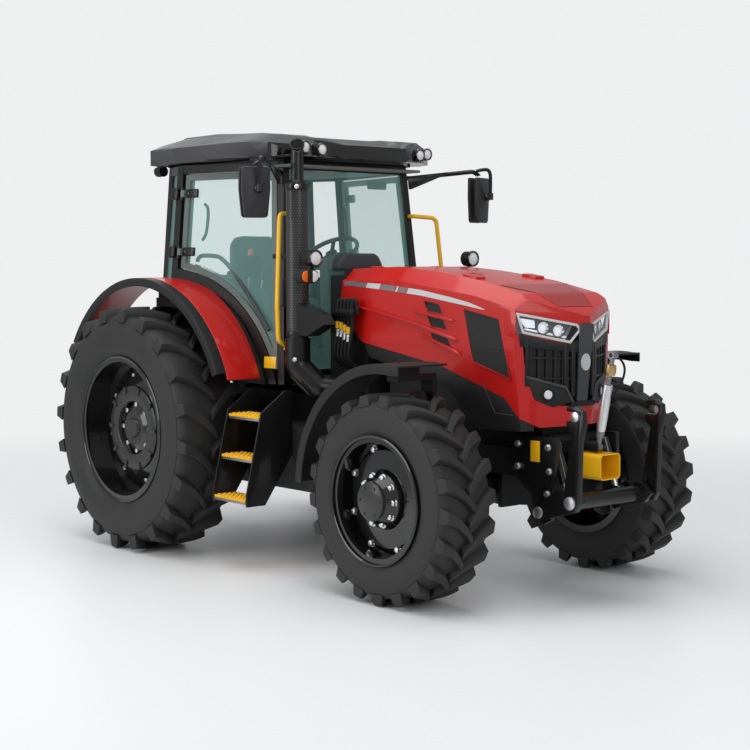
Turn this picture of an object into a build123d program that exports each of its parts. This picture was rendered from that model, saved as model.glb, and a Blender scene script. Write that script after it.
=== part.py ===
"""Farm tractor with a closed cab, a front linkage and a rear three-point linkage.

Lengths are measured forward (+X) from the rear axle, widths from the middle plane (+Y is left)
and heights (+Z) from the ground.  The finished pieces are moved so that the origin lies on the
ground under the middle of the whole tractor.
"""
from build123d import *
import math
import os

os.makedirs("parts", exist_ok=True)

# ------------------------------------------------------------------ driving dimensions (mm, degrees)
# Wheels
wheelbase = 2573
rear_tyre_radius = 852
rear_tyre_width = 520
rear_half_track = 1004
rear_rim_seat = 483
rear_rim_width = 440
front_tyre_radius = 626
front_tyre_width = 412
front_half_track = 900
front_rim_seat = 356
front_rim_width = 392
flange_height = 30
flange_thickness = 12
rim_thickness = 14
spindle_radius = 50
running_clearance = 0.3
lug_tip_width = 46
lug_foot_width = 74
shoulder_round = 10
rear_lugs = 20
rear_lug_height = 46
rear_lug_sweep = 13.5
front_lugs = 21
front_lug_height = 39
front_lug_sweep = 14.3
tread_inset = 20
crown_drop = 24

# Front axle
kingpin_offset = 720
kingpin_radius = 30
knuckle_boss_radius = 75
knuckle_boss_height = 200
fender_radius = 800
fender_sheet = 12
front_fender_inner = 750
front_fender_outer = 1075

# Rear fenders, concentric with the rear axle
arch_radius = 1057
arch_sheet = 14
arch_inner = 735
arch_outer = 1000
flare_outer = 1080
flare_lip = 60
sill_radius = 1130

# Cab: three points fix the leaning plane of each side
sill_front = Vector(1134, -650, 1258)
roof_front = Vector(1014, -556, 2665)
belt_rear = Vector(100, -790, 1990)
floor_height = 1240
floor_thickness = 40
ring_bottom = 2640
ring_top = 2700
cab_rear = -255
cab_inner_wall = 700
cab_wall = 32
post_thickness = 50
glass_thickness = 8
door_thickness = 40
door_frame_width = 42
door_gap = 8
hinge_x = 105
hinge_pin_radius = 11

# Hood
hood_half_width = 415
hood_rear = 1440
hood_wall = 12
hood_lift_x = 1470
hood_lift_z = 1930
ear_middle = 240
ear_thickness = 20

# Running gear
housing_half_width = 215
pad_height = 100
housing_top = floor_height - floor_thickness - pad_height
housing_bottom = 560
rail_outer = 250
rail_inner = 205
rail_top = 900
rail_bottom = 730
engine_half_width = 204.7

# Front linkage
plate_thickness = 30
lift_pivot_x = 3150
lift_pivot_z = 545
hook_pivot_x = 3440
hook_pivot_z = 637
hook_height = 500
hook_thickness = 36
hook_outer = 390
hook_front = 3540
link_pin_radius = 22

# Rear linkage
link_pivot_x = -180
link_pivot_z = 590
link_eye_x = -1060
link_half_spread = 400
link_thickness = 36
link_height = 64
link_eye_radius = 38
link_bore_radius = 14.35
drawbar_end = -900
drawbar_pin_radius = 16

# Reach of the whole tractor
rear_reach = link_eye_radius - link_eye_x
front_reach = hook_front
rear_axle_x = (rear_reach - front_reach) / 2

front_axle_z = front_tyre_radius
rear_axle_z = rear_tyre_radius


# ------------------------------------------------------------------ helpers
def save(piece, node):
    """Move a finished piece from the rear axle's frame to the tractor's middle and write it."""
    placed = piece.moved(Location((rear_axle_x, 0, 0)))
    placed.label = node
    export_step(placed, f"parts/{node}.step")


def save_pair(right_piece, node):
    """Write a right-hand piece and its mirror image."""
    save(right_piece, f"{node}_right")
    save(mirror(right_piece, about=Plane.XZ), f"{node}_left")


def side_plate(outline, near, far, mode=Mode.ADD):
    """A plate drawn in side view (x, z) that reaches from y = -near to y = -far."""
    with BuildSketch(Plane.XZ.offset(near)) as profile:
        with BuildLine():
            Polyline(*outline, close=True)
        make_face()
    extrude(profile.sketch, amount=far - near, mode=mode)


def box(x_range, y_range, z_range, mode=Mode.ADD):
    """A block between limits along each axis."""
    spans = [high - low for low, high in (x_range, y_range, z_range)]
    middle = [(high + low) / 2 for low, high in (x_range, y_range, z_range)]
    with Locations(tuple(middle)):
        Box(*spans, mode=mode)


def turned(axis_x, axis_z, outline, mode=Mode.ADD):
    """A body turned about a level cross axis: outline points are (distance to the right, radius)."""
    section_plane = Plane(origin=(axis_x, 0, axis_z), x_dir=(0, -1, 0), z_dir=(-1, 0, 0))
    with BuildSketch(section_plane) as section:
        with BuildLine():
            Polyline(*outline, close=True)
        make_face()
    revolve(section.sketch, axis=Axis((axis_x, 0, axis_z), (0, 1, 0)), mode=mode)


def cross_rod(x, z, radius, near, far, mode=Mode.ADD):
    """A round rod along Y between two distances to the right of the middle plane."""
    with Locations((x, -(near + far) / 2, z)):
        Cylinder(radius, far - near, rotation=(90, 0, 0), mode=mode)


def long_rod(y, z, radius, start, end, mode=Mode.ADD):
    """A round rod along X."""
    with Locations(((start + end) / 2, y, z)):
        Cylinder(radius, end - start, rotation=(0, 90, 0), mode=mode)


def upright(x, y, radius, bottom, top, mode=Mode.ADD):
    """A round rod along Z."""
    with Locations((x, y, (bottom + top) / 2)):
        Cylinder(radius, top - bottom, mode=mode)


def post(foot, head, size_x, size_y, mode=Mode.ADD):
    """A straight post with a level rectangular section between two points."""
    sections = []
    for point in (foot, head):
        with BuildSketch(Plane.XY.offset(point[2])) as level:
            with Locations((point[0], point[1])):
                Rectangle(size_x, size_y)
        sections.append(level.sketch)
    loft(sections, mode=mode)


def pipe(points, radius, bends):
    """A round bar or hose along straight runs joined by tangent arcs."""
    with BuildLine() as route:
        FilletPolyline(*points, radius=bends)
    with BuildSketch(Plane(origin=route.line @ 0, z_dir=route.line % 0)) as section:
        Circle(radius)
    sweep(section.sketch, path=route.line)


def skin_plane(first, second, third):
    """The plane through three points, facing away from the cab."""
    facing = (second - first).cross(third - first)
    return Plane(origin=first, z_dir=facing)


def leaning_panel(outline, skin, depth, thickness, mode=Mode.ADD, above=0, below=0):
    """A panel drawn in side view whose faces lie `depth` and `depth + thickness` inside the skin.

    With `above` and `below` it stays outside and inside circles of those radii about the rear axle.
    """
    with BuildSketch(Plane.XZ.offset(300)) as profile:
        with BuildLine():
            Polyline(*outline, close=True)
        make_face()
    block = extrude(profile.sketch, amount=900, mode=Mode.PRIVATE)
    block = split(block, bisect_by=skin.offset(-depth), keep=Keep.BOTTOM, mode=Mode.PRIVATE)
    block = split(block, bisect_by=skin.offset(-depth - thickness), keep=Keep.TOP, mode=Mode.PRIVATE)
    if above:
        block = block - axle_cylinder(above, 0, rear_axle_z)
    if below:
        block = block & axle_cylinder(below, 0, rear_axle_z)
    add(block, mode=mode)


def axle_cylinder(radius, x, z):
    """A long cylinder about a cross axis, used to trim what follows a wheel."""
    return Pos(x, 0, z) * Rot(90, 0, 0) * Cylinder(radius, 2600, mode=Mode.PRIVATE)


# ------------------------------------------------------------------ wheels
def tread_outline(centre_x, centre_z, count, turn, tip_radius, foot_radius):
    """One side of the tread in side view: straight-sided lugs on a many-sided carcass."""
    tip_angle = lug_tip_width / 2 / tip_radius
    foot_angle = lug_foot_width / 2 / foot_radius
    points = []
    for index in range(count):
        middle = turn + 2 * math.pi * index / count
        for angle, radius in ((-foot_angle, foot_radius), (-tip_angle, tip_radius),
                              (tip_angle, tip_radius), (foot_angle, foot_radius)):
            points.append((centre_x + radius * math.cos(middle + angle),
                           centre_z + radius * math.sin(middle + angle)))
    return points


def tyre(axle_x, radius, width, half_track, rim_seat, rim_width, lugs, lug_height, sweep):
    """One tyre: carcass with bulging sidewalls and two rows of swept lugs, half a pitch apart."""
    bead = rim_width / 2 - flange_thickness - running_clearance
    bulge = width / 2
    tread = bulge - tread_inset
    flange = rim_seat + flange_height + 4
    belly = flange + (radius - flange) * 0.4
    foot = radius - lug_height
    shoulder = foot - crown_drop
    half_section = [(bead, rim_seat + running_clearance), (bead, flange), (bulge, belly),
                    (bulge - 8, shoulder - 2.4 * shoulder_round), (tread + 2, shoulder - shoulder_round)]
    outline = [(half_track + out, r) for out, r in half_section]
    outline += [(half_track - out, r) for out, r in reversed(half_section)]
    # a lug's corner stands straight below the axle
    lowest = -math.pi / 2 + lug_tip_width / 2 / radius
    pitch = 2 * math.pi / lugs
    with BuildPart() as carcass:
        for flank, turn in ((1, lowest), (-1, lowest + pitch / 2)):
            rows = []
            for out, swing, drop in ((0, 0, 0), (tread, math.radians(sweep), crown_drop)):
                with BuildSketch(Plane.XZ.offset(half_track + flank * out)) as row:
                    with BuildLine():
                        Polyline(*tread_outline(axle_x, radius, lugs, turn + swing, radius - drop * 0.3,
                                                foot - drop), close=True)
                    make_face()
                rows.append(row.sketch)
            loft(rows, ruled=True)
        cross_rod(axle_x, radius, belly, half_track - width, half_track + width, mode=Mode.SUBTRACT)
        turned(axle_x, radius, outline)
    return carcass.part


def rim(axle_x, axle_z, half_track, rim_seat, rim_width, disc_profile, hub_bore_depth):
    """One rim with its dished disc and hub; disc_profile runs from the barrel to the hub's face."""
    half = rim_width / 2
    lip = half - flange_thickness
    flange = rim_seat + flange_height
    inside = rim_seat - rim_thickness
    outline = [(half, inside), (half, flange), (lip, flange), (lip, rim_seat), (-lip, rim_seat),
               (-lip, flange), (-half, flange), (-half, inside)]
    back = [(out - disc_thickness, r) for out, r in disc_profile[:-1]]
    hub_back = disc_profile[-1][0] - hub_bore_depth
    hub_radius = disc_profile[-2][1]
    outline += [(back[0][0], inside)] + back[:-1] + [(back[-1][0], hub_radius), (hub_back, hub_radius)]
    outline += [(hub_back, spindle_radius + running_clearance)]
    outline += [(disc_profile[-1][0] - hub_cap_thickness, spindle_radius + running_clearance)]
    outline += [(disc_profile[-1][0] - hub_cap_thickness, 0), (disc_profile[-1][0], 0)]
    outline += [(disc_profile[-1][0], hub_radius)] + list(reversed(disc_profile[:-1]))[1:]
    outline += [(disc_profile[0][0], inside)]
    with BuildPart() as wheel:
        turned(axle_x, axle_z, [(half_track + out, r) for out, r in outline])
    return wheel.part


disc_thickness = 16
hub_cap_thickness = 40
# (distance out from the tyre's middle plane, radius) from the barrel inwards to the hub's face
rear_disc = [(30, 440), (100, 300), (100, 240), (60, 225), (60, 120), (110, 0)]
front_disc = [(70, 330), (110, 290), (120, 180), (150, 165), (150, 118), (212, 0)]
hub_depth = 130

rear_rim = rim(0, rear_axle_z, rear_half_track, rear_rim_seat, rear_rim_width, rear_disc, hub_depth)
front_rim = rim(wheelbase, front_axle_z, front_half_track, front_rim_seat, front_rim_width,
                front_disc, hub_depth)
rear_tyre = tyre(0, rear_tyre_radius, rear_tyre_width, rear_half_track, rear_rim_seat, rear_rim_width,
                 rear_lugs, rear_lug_height, rear_lug_sweep)
front_tyre = tyre(wheelbase, front_tyre_radius, front_tyre_width, front_half_track, front_rim_seat,
                  front_rim_width, front_lugs, front_lug_height, front_lug_sweep)
save_pair(rear_rim, "rear_rim")
save_pair(front_rim, "front_rim")
save_pair(rear_tyre, "rear_tyre")
save_pair(front_tyre, "front_tyre")

# ------------------------------------------------------------------ transmission and rear axle
trumpet_end = rear_half_track - 20
spindle_end = rear_half_track + rear_disc[-1][0] - hub_cap_thickness - running_clearance
pto_radius = 17.5
pto_height = 640
pto_end = -430
housing_rear = -340
housing_front = 1660
rocker_x = -250
rocker_z = 1040
rocker_radius = 35
link_pin_reach = link_half_spread + link_thickness / 2 + 8
mount_pad = 160

with BuildPart() as transmission_housing:
    side_plate([(housing_rear, housing_bottom), (1100, housing_bottom), (housing_front, 640),
                (housing_front, housing_top), (housing_rear, housing_top)], 0, housing_half_width)
    # pads that carry the cab floor
    for pad_x in (20, 1040):
        box((pad_x - mount_pad / 2, pad_x + mount_pad / 2), (-housing_half_width, -60),
            (housing_top, floor_height - floor_thickness))
    mirror(about=Plane.XZ)
    long_rod(0, pto_height, 70, housing_rear - 30, housing_rear)
    long_rod(0, pto_height, pto_radius, pto_end, housing_rear)
    cross_rod(rocker_x, rocker_z, rocker_radius + running_clearance, -housing_half_width - 1,
              housing_half_width + 1, mode=Mode.SUBTRACT)
save(transmission_housing.part, "transmission_housing")

# the axle trumpets with their spindles, and the pins of the lower links
housing_side = housing_half_width + running_clearance

with BuildPart() as axle_housings:
    trumpet = [(housing_side, 0), (housing_side, 190), (housing_half_width + 60, 190),
               (housing_half_width + 160, 130), (trumpet_end - 60, 115), (trumpet_end - 60, 150),
               (trumpet_end, 150), (trumpet_end, spindle_radius), (spindle_end, spindle_radius),
               (spindle_end, 0)]
    turned(0, rear_axle_z, trumpet)
    cross_rod(link_pivot_x, link_pivot_z, link_pin_radius, housing_side, link_pin_reach)
    mirror(about=Plane.XZ)
save(axle_housings.part, "rear_axle_housings")

# ------------------------------------------------------------------ front frame and engine
saddle_thickness = 32
saddle_reach = 165
trunnion_radius = 60
frame_front = 3130
engine_front = wheelbase + 127
engine_top = 1560

with BuildPart() as front_frame:
    for side in (-1, 1):
        rail = sorted((side * rail_inner, side * rail_outer))
        box((housing_front, frame_front), rail, (rail_bottom, rail_top))
    box((frame_front - 30, frame_front), (-rail_inner, rail_inner), (rail_bottom - 120, rail_top + 90))
    box((housing_front, housing_front + 30), (-rail_inner, rail_inner), (rail_bottom, rail_top))
    for saddle_x in (wheelbase - saddle_reach, wheelbase + saddle_reach - saddle_thickness):
        box((saddle_x, saddle_x + saddle_thickness), (-rail_inner, rail_inner),
            (front_axle_z - 110, rail_bottom + 60))
        long_rod(0, front_axle_z, trunnion_radius + running_clearance, saddle_x - 1,
                 saddle_x + saddle_thickness + 1, mode=Mode.SUBTRACT)
save(front_frame.part, "front_frame")

with BuildPart() as engine_block:
    box((housing_front + 40, wheelbase - saddle_reach - 10), (-engine_half_width, engine_half_width),
        (rail_bottom, engine_top))
    box((wheelbase - saddle_reach - 10, engine_front), (-engine_half_width, engine_half_width),
        (rail_bottom + 70, engine_top))
    box((engine_front, frame_front - 60), (-engine_half_width, engine_half_width),
        (rail_bottom + 70, 1480))
save(engine_block.part, "engine_block")

# ------------------------------------------------------------------ front axle and knuckles
beam_half_height = 62
beam_half_depth = 55
boss_bottom = front_axle_z - knuckle_boss_height / 2
boss_top = front_axle_z + knuckle_boss_height / 2
knuckle_arm = 46
spindle_start = kingpin_offset + 88
front_spindle_end = front_half_track + front_disc[-1][0] - hub_cap_thickness - running_clearance

with BuildPart() as front_axle_beam:
    box((wheelbase - beam_half_depth, wheelbase + beam_half_depth), (-kingpin_offset, 0),
        (front_axle_z - beam_half_height, front_axle_z + beam_half_height))
    upright(wheelbase, -kingpin_offset, knuckle_boss_radius, boss_bottom, boss_top)
    turned(wheelbase, front_axle_z, [(0, 0), (0, 120), (80, 120), (150, 80), (150, 0)])
    upright(wheelbase, -kingpin_offset, kingpin_radius + running_clearance, boss_bottom - 1, boss_top + 1,
            mode=Mode.SUBTRACT)
    mirror(about=Plane.XZ)
    saddle_gap = saddle_reach - saddle_thickness
    box((wheelbase - saddle_gap + 5, wheelbase + saddle_gap - 5), (-90, 90),
        (front_axle_z - 90, front_axle_z + 90))
    long_rod(0, front_axle_z, trunnion_radius, wheelbase - saddle_reach, wheelbase + saddle_reach)
save(front_axle_beam.part, "front_axle_beam")

fender_bracket_inner = 640
fender_bracket_outer = 672
fender_centre_x = wheelbase + 20

with BuildPart() as knuckle:
    for low in (boss_top + running_clearance, boss_bottom - running_clearance - knuckle_arm):
        box((wheelbase - 70, wheelbase + 70), (-spindle_start, -kingpin_offset), (low, low + knuckle_arm))
        upright(wheelbase, -kingpin_offset, 70, low, low + knuckle_arm)
    upright(wheelbase, -kingpin_offset, kingpin_radius, boss_bottom - 5, boss_top + 5)
    box((wheelbase - 80, wheelbase + 80), (-spindle_start - 40, -spindle_start),
        (boss_bottom - running_clearance - knuckle_arm, boss_top + running_clearance + knuckle_arm))
    turned(wheelbase, front_axle_z, [(spindle_start + 20, 0), (spindle_start + 20, 110),
                                     (front_half_track - 20, 100), (front_half_track - 20, spindle_radius),
                                     (front_spindle_end, spindle_radius), (front_spindle_end, 0)])
    # bracket that carries the fender, inboard of the tyre
    knuckle_top = boss_top + running_clearance + knuckle_arm
    side_plate([(wheelbase - 60, knuckle_top - 40), (wheelbase + 60, knuckle_top - 40),
                (wheelbase + 40, front_axle_z + fender_radius - 90),
                (wheelbase - 60, front_axle_z + fender_radius - 90)],
               fender_bracket_inner, fender_bracket_outer)
    box((wheelbase - 60, wheelbase + 60), (-kingpin_offset, -fender_bracket_inner),
        (knuckle_top - 40, knuckle_top))
    side_plate([(wheelbase - 60, front_axle_z + fender_radius - 110),
                (wheelbase + 40, front_axle_z + fender_radius - 110),
                (wheelbase + 40, front_axle_z + fender_radius - 70),
                (wheelbase - 60, front_axle_z + fender_radius - 70)],
               fender_bracket_inner, front_fender_inner + 200)
    for rib_x in (wheelbase - 60, wheelbase + 20):
        box((rib_x, rib_x + 20), (-front_fender_inner - 190, -front_fender_inner - 30),
            (front_axle_z + fender_radius - 75, front_axle_z + fender_radius))
    add(axle_cylinder(fender_radius + 60, fender_centre_x, front_axle_z)
        - axle_cylinder(fender_radius - fender_sheet - running_clearance, fender_centre_x, front_axle_z),
        mode=Mode.SUBTRACT)
save_pair(knuckle.part, "knuckle")

fender_front_angle = 83
fender_rear_angle = 178
fender_tip = 60
fender_skirt = 60
fender_tip_inner = 683
fender_tip_angle_inner = 95


def arc_point(radius, angle, centre_x, centre_z):
    """A point on a circle in side view."""
    return (centre_x + radius * math.cos(math.radians(angle)),
            centre_z + radius * math.sin(math.radians(angle)))


def fender_band(outer_radius, inner_radius, near, far, rear_angle=fender_rear_angle):
    """The curved band of the front fender with its flat front tip."""
    middle_angle = (fender_front_angle + rear_angle) / 2
    centre = (fender_centre_x, front_axle_z)
    outer_rear, outer_mid, outer_front = (arc_point(outer_radius, angle, *centre)
                                          for angle in (rear_angle, middle_angle, fender_front_angle))
    inner_rear, inner_mid, inner_front = (arc_point(inner_radius, angle, *centre)
                                          for angle in (rear_angle, middle_angle, fender_front_angle))
    tip_x = outer_front[0] + fender_tip
    with BuildSketch(Plane.XZ.offset(near)) as band:
        with BuildLine():
            ThreePointArc(outer_rear, outer_mid, outer_front)
            Polyline(outer_front, (tip_x, outer_front[1]), (tip_x, inner_front[1]), inner_front)
            ThreePointArc(inner_front, inner_mid, inner_rear)
            Line(inner_rear, outer_rear)
        make_face()
    extrude(band.sketch, amount=far - near)


with BuildPart() as front_fender:
    fender_band(fender_radius, fender_radius - fender_sheet, front_fender_inner, front_fender_outer)
    fender_band(fender_radius, fender_radius - fender_sheet, fender_tip_inner, front_fender_inner,
                fender_tip_angle_inner)
    fender_band(fender_radius, fender_radius - fender_skirt, front_fender_outer - fender_sheet,
                front_fender_outer)
save_pair(front_fender.part, "front_fender")

# ------------------------------------------------------------------ rear fenders and flares
fender_tip_angle = 137
fender_foot_angle = 21.5
flare_tip_angle = 147
flare_foot_angle = 24
seat_gap = 0.3


def arch_band(outer_radius, inner_radius, low_angle, high_angle, near, far):
    """A curved band about the rear axle between two angles."""
    centre = (0, rear_axle_z)
    middle_angle = (low_angle + high_angle) / 2
    outer = [arc_point(outer_radius, angle, *centre) for angle in (low_angle, middle_angle, high_angle)]
    inner = [arc_point(inner_radius, angle, *centre) for angle in (high_angle, middle_angle, low_angle)]
    with BuildSketch(Plane.XZ.offset(near)) as band:
        with BuildLine():
            ThreePointArc(*outer)
            Line(outer[2], inner[0])
            ThreePointArc(*inner)
            Line(inner[2], outer[0])
        make_face()
    extrude(band.sketch, amount=far - near)


with BuildPart() as rear_fenders:
    arch_band(arch_radius, arch_radius - arch_sheet, fender_foot_angle, fender_tip_angle,
              arch_inner, arch_outer)
    mirror(about=Plane.XZ)
save(rear_fenders.part, "rear_fenders")

with BuildPart() as fender_flares:
    arch_band(arch_radius - 2, arch_radius - 14, flare_foot_angle, flare_tip_angle,
              arch_outer + seat_gap, flare_outer)
    arch_band(arch_radius - 2, arch_radius - flare_lip, flare_foot_angle, flare_tip_angle,
              flare_outer - 12, flare_outer)
    mirror(about=Plane.XZ)
save(fender_flares.part, "fender_flares")

# ------------------------------------------------------------------ cab
side_skin = skin_plane(sill_front, roof_front, belt_rear)
quarter_foot = Vector(-225, -705, 1950)
b_post_x = 60
a_post_width = 52
b_post_width = 56


def side_width(x, z, skin=None):
    """How far the side skin lies from the middle plane at a place in side view."""
    plane = skin or side_skin
    normal = plane.z_dir
    gap = normal.X * (x - plane.origin.X) + normal.Z * (z - plane.origin.Z)
    return -(plane.origin.Y - gap / normal.Y)


b_belt = Vector(b_post_x, -side_width(b_post_x, 1990), 1990)
b_roof = Vector(b_post_x, -side_width(b_post_x, ring_top), ring_top)
quarter_skin = skin_plane(b_belt, b_roof, quarter_foot)
a_foot_x, a_foot_z = sill_front.X, floor_height - floor_thickness
a_slope = (roof_front.X - sill_front.X) / (roof_front.Z - sill_front.Z)


def a_post_x(z):
    """Front edge of the A post in side view."""
    return sill_front.X + a_slope * (z - sill_front.Z)


ring_outline = [(a_post_x(ring_top), side_width(a_post_x(ring_top), ring_top)),
                (b_post_x, side_width(b_post_x, ring_top)),
                (-225, side_width(-225, ring_top, quarter_skin))]

ring_width = 62
ring_inner = [(ring_outline[0][0] - ring_width, ring_outline[0][1] - ring_width),
              (ring_outline[1][0], ring_outline[1][1] - ring_width),
              (ring_outline[2][0] + ring_width, ring_outline[2][1] - ring_width)]
sill_width = -sill_front.Y - 20
c_post_foot = cab_inner_wall - 30
c_post_knee = 1900
c_post_head_x = -200
c_post_head = side_width(c_post_head_x, ring_top, quarter_skin) - 30
rear_sill = 1760

hinge_barrel = 50
hinge_stations = (2090, 2500)
hinge_offset = 14
hinge_strap = 34


def hinge_point(height):
    """A point on the right door's hinge line."""
    return Vector(hinge_x, -side_width(hinge_x, height) - hinge_offset, height)


hinge_line = (hinge_point(hinge_stations[1]) - hinge_point(hinge_stations[0])).normalized()


def hinge_plane(height):
    """The plane across the hinge line at a height, with its X axis forward."""
    return Plane(origin=hinge_point(height), x_dir=(1, 0, 0), z_dir=hinge_line)


def hinge_round(height, radius, low, high, mode=Mode.ADD):
    """A round length of the hinge between two distances along its line."""
    with BuildSketch(hinge_plane(height).offset(low)) as section:
        Circle(radius)
    extrude(section.sketch, amount=high - low, mode=mode)


def hinge_piece(height, middle, half_length, reach):
    """A hinge barrel with the strap that joins it to the panel in front (1) or behind (-1)."""
    hinge_round(height, hinge_pin_radius, middle - half_length, middle + half_length)
    with BuildSketch(hinge_plane(height).offset(middle - half_length)) as strap:
        with Locations((reach * hinge_strap / 2, hinge_strap / 2 - 8)):
            Rectangle(hinge_strap, hinge_strap)
    extrude(strap.sketch, amount=2 * half_length)


with BuildPart() as cab_frame:
    for station in hinge_stations:
        hinge_piece(station, hinge_barrel / 2 + 10, 9, -1)
        hinge_piece(station, -hinge_barrel / 2 - 10, 9, -1)
        hinge_round(station, hinge_pin_radius - 5, -hinge_barrel / 2 - 12, hinge_barrel / 2 + 12)
    # A post, B post and the sill that follows the fender
    leaning_panel([(a_post_x(a_foot_z), a_foot_z), (a_post_x(ring_top), ring_top),
                   (a_post_x(ring_top) - a_post_width, ring_top),
                   (a_post_x(a_foot_z) - a_post_width, a_foot_z)], side_skin, 0, post_thickness)
    leaning_panel([(b_post_x - b_post_width / 2, 1700), (b_post_x + b_post_width / 2, 1700),
                   (b_post_x + b_post_width / 2, ring_top), (b_post_x - b_post_width / 2, ring_top)],
                  side_skin, 0, post_thickness, above=arch_radius + seat_gap)
    leaning_panel([(b_post_x, 1700), (b_post_x, 2100), (900, 2100), (a_post_x(a_foot_z), a_foot_z),
                   (700, a_foot_z)],
                  side_skin, 0, post_thickness, above=arch_radius + seat_gap, below=sill_radius - door_gap)
    box((a_post_x(a_foot_z) - a_post_width, a_post_x(a_foot_z) - 8), (-sill_width, 0),
        (a_foot_z, floor_height + 50))
    # rear corner posts and the beam under the rear window
    post((cab_rear + 30, -c_post_foot, a_foot_z), (cab_rear + 30, -c_post_foot, c_post_knee), 50, 50)
    post((cab_rear + 30, -c_post_foot, c_post_knee - 5), (c_post_head_x, -c_post_head, ring_top), 50, 50)
    box((cab_rear + 5, cab_rear + 55), (-c_post_foot, 0), (rear_sill - 50, rear_sill))
    # roof ring
    with BuildSketch(Plane.XY.offset(ring_bottom)) as ring:
        with BuildLine():
            Polyline(*[(x, -y) for x, y in ring_outline], (ring_outline[-1][0], 0),
                     (ring_outline[0][0], 0), close=True)
        make_face()
        with BuildLine():
            Polyline(*[(x, -y) for x, y in ring_inner], (ring_inner[-1][0], 0.0),
                     (ring_inner[0][0], 0.0), close=True)
        make_face(mode=Mode.SUBTRACT)
    extrude(ring.sketch, amount=ring_top - ring_bottom)
    mirror(about=Plane.XZ)
save(cab_frame.part, "cab_frame")

wall_radius = arch_radius - arch_sheet / 2
wall_front = 1000
floor_neck = 970
floor_neck_width = 600

with BuildPart() as cab_body:
    box((cab_rear, floor_neck), (-c_post_foot + 27, 0), (a_foot_z, floor_height))
    box((floor_neck - 230, floor_neck), (-cab_inner_wall, 0), (a_foot_z, floor_height))
    box((floor_neck, a_post_x(a_foot_z) - a_post_width - 2), (-floor_neck_width, 0), (a_foot_z, floor_height))
    # the inner walls beside the tyres end under the fender's curve
    with BuildSketch(Plane.XZ.offset(cab_inner_wall)) as wall_view:
        with BuildLine():
            Polyline((cab_rear, a_foot_z), (wall_front, a_foot_z), (wall_front, 1500), (600, 2000),
                     (cab_rear, 2000), close=True)
        make_face()
    add(extrude(wall_view.sketch, amount=cab_wall, mode=Mode.PRIVATE)
        & axle_cylinder(wall_radius, 0, rear_axle_z))
    # rear wall under the window
    box((cab_rear - 30, cab_rear), (-cab_inner_wall - cab_wall, 0), (a_foot_z, rear_sill))
    mirror(about=Plane.XZ)
save(cab_body.part, "cab_body")

roof_bottom = ring_top
roof_side_height = 122
roof_edge = roof_bottom + roof_side_height
# (x, half width) of the roof's lower slab from the rear to the front
roof_plan = [(-370, 640), (-300, 760), (900, 775), (1060, 720), (1230, 500), (1310, 300)]
slab_inset = 90
visor_drop = 15
# sections of the roof: x, half width, and how far its side edge, shoulder and middle lie from the side
# edge's height; the shoulders rise over the middle at the front, where they hold the lamps
roof_sections = [(-370, 640, -2, 560, 13, 13), (-300, 760, 0, 640, 46, 46), (0, 768, 2, 650, 82, 84),
                 (400, 772, 2, 652, 85, 90), (900, 775, -2, 650, 63, 55), (1060, 720, -10, 610, 48, 14),
                 (1230, 500, -32, 440, 18, -10), (1310, 300, -57, 285, -24, -22)]
lamp_middle_width = 330
pod_slope = 70
# lamps in the front shoulders: (x of the face, y, height, radius)
roof_lamp_rows = [(1275, -440, roof_edge - 59, 42), (1232, -548, roof_edge - 46, 42)]
roof_lamp_depth = 60
rear_lamp_radius = 38
rear_lamp_y = -600
rear_lamp_heights = (roof_edge - 52, roof_edge - 138)


def roof_sheet(height, inset):
    """The roof's outline at a height, drawn in by an inset."""
    half = [(x - inset * (1 if x > 800 else -1), y - inset) for x, y in roof_plan]
    with BuildSketch(Plane.XY.offset(height)) as outline:
        with BuildLine():
            Polyline(*half, *[(x, -y) for x, y in reversed(half)], close=True)
        make_face()
    return outline.sketch


def roof_shell():
    """The roof's body, lofted over its cross sections."""
    sheets = []
    for x, width, edge, shoulder, rise, middle in roof_sections:
        flat = min(lamp_middle_width, shoulder * 0.7)
        half = [(0, roof_edge + middle), (flat, roof_edge + middle),
                (min(flat + pod_slope, shoulder * 0.88), roof_edge + rise), (shoulder, roof_edge + rise),
                (width, roof_edge + edge), (width, roof_bottom + visor_drop)]
        with BuildSketch(Plane(origin=(x, 0, 0), x_dir=(0, 1, 0), z_dir=(1, 0, 0))) as sheet:
            with BuildLine():
                Polyline(*half, *[(-y, z) for y, z in reversed(half[1:])], close=True)
            make_face()
        sheets.append(sheet.sketch)
    return loft(sheets, ruled=True, mode=Mode.PRIVATE)


def roof_lamp(face_x, lamp_y, lamp_z, radius, mode):
    """A round lamp in the roof, its axis along the tractor."""
    with Locations(Location((face_x - roof_lamp_depth / 2, lamp_y, lamp_z), (0, 90, 0))):
        Cylinder(radius, roof_lamp_depth, mode=mode)


with BuildPart() as roof:
    add(roof_shell())
    extrude(roof_sheet(roof_bottom, slab_inset), amount=visor_drop)
    for face_x, lamp_y, lamp_z, radius in roof_lamp_rows:
        for hand in (1, -1):
            roof_lamp(face_x, hand * lamp_y, lamp_z, radius + running_clearance, Mode.SUBTRACT)
save(roof.part, "roof")

# fixed glass: windscreen, rear window and the two quarter windows
screen_bulge = 55
screen_gap = 3


def screen_arc(height):
    """The windscreen's level section: a thin bow between the A posts."""
    edge_x = a_post_x(height) - a_post_width / 2
    edge_y = side_width(edge_x, height) - post_thickness - screen_gap
    with BuildSketch(Plane.XY.offset(height)) as bow:
        with BuildLine():
            ThreePointArc((edge_x, -edge_y), (edge_x + screen_bulge, 0), (edge_x, edge_y))
            Line((edge_x, edge_y), (edge_x - glass_thickness, edge_y))
            ThreePointArc((edge_x - glass_thickness, edge_y), (edge_x + screen_bulge - glass_thickness, 0),
                          (edge_x - glass_thickness, -edge_y))
            Line((edge_x - glass_thickness, -edge_y), (edge_x, -edge_y))
        make_face()
    return bow.sketch


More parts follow.
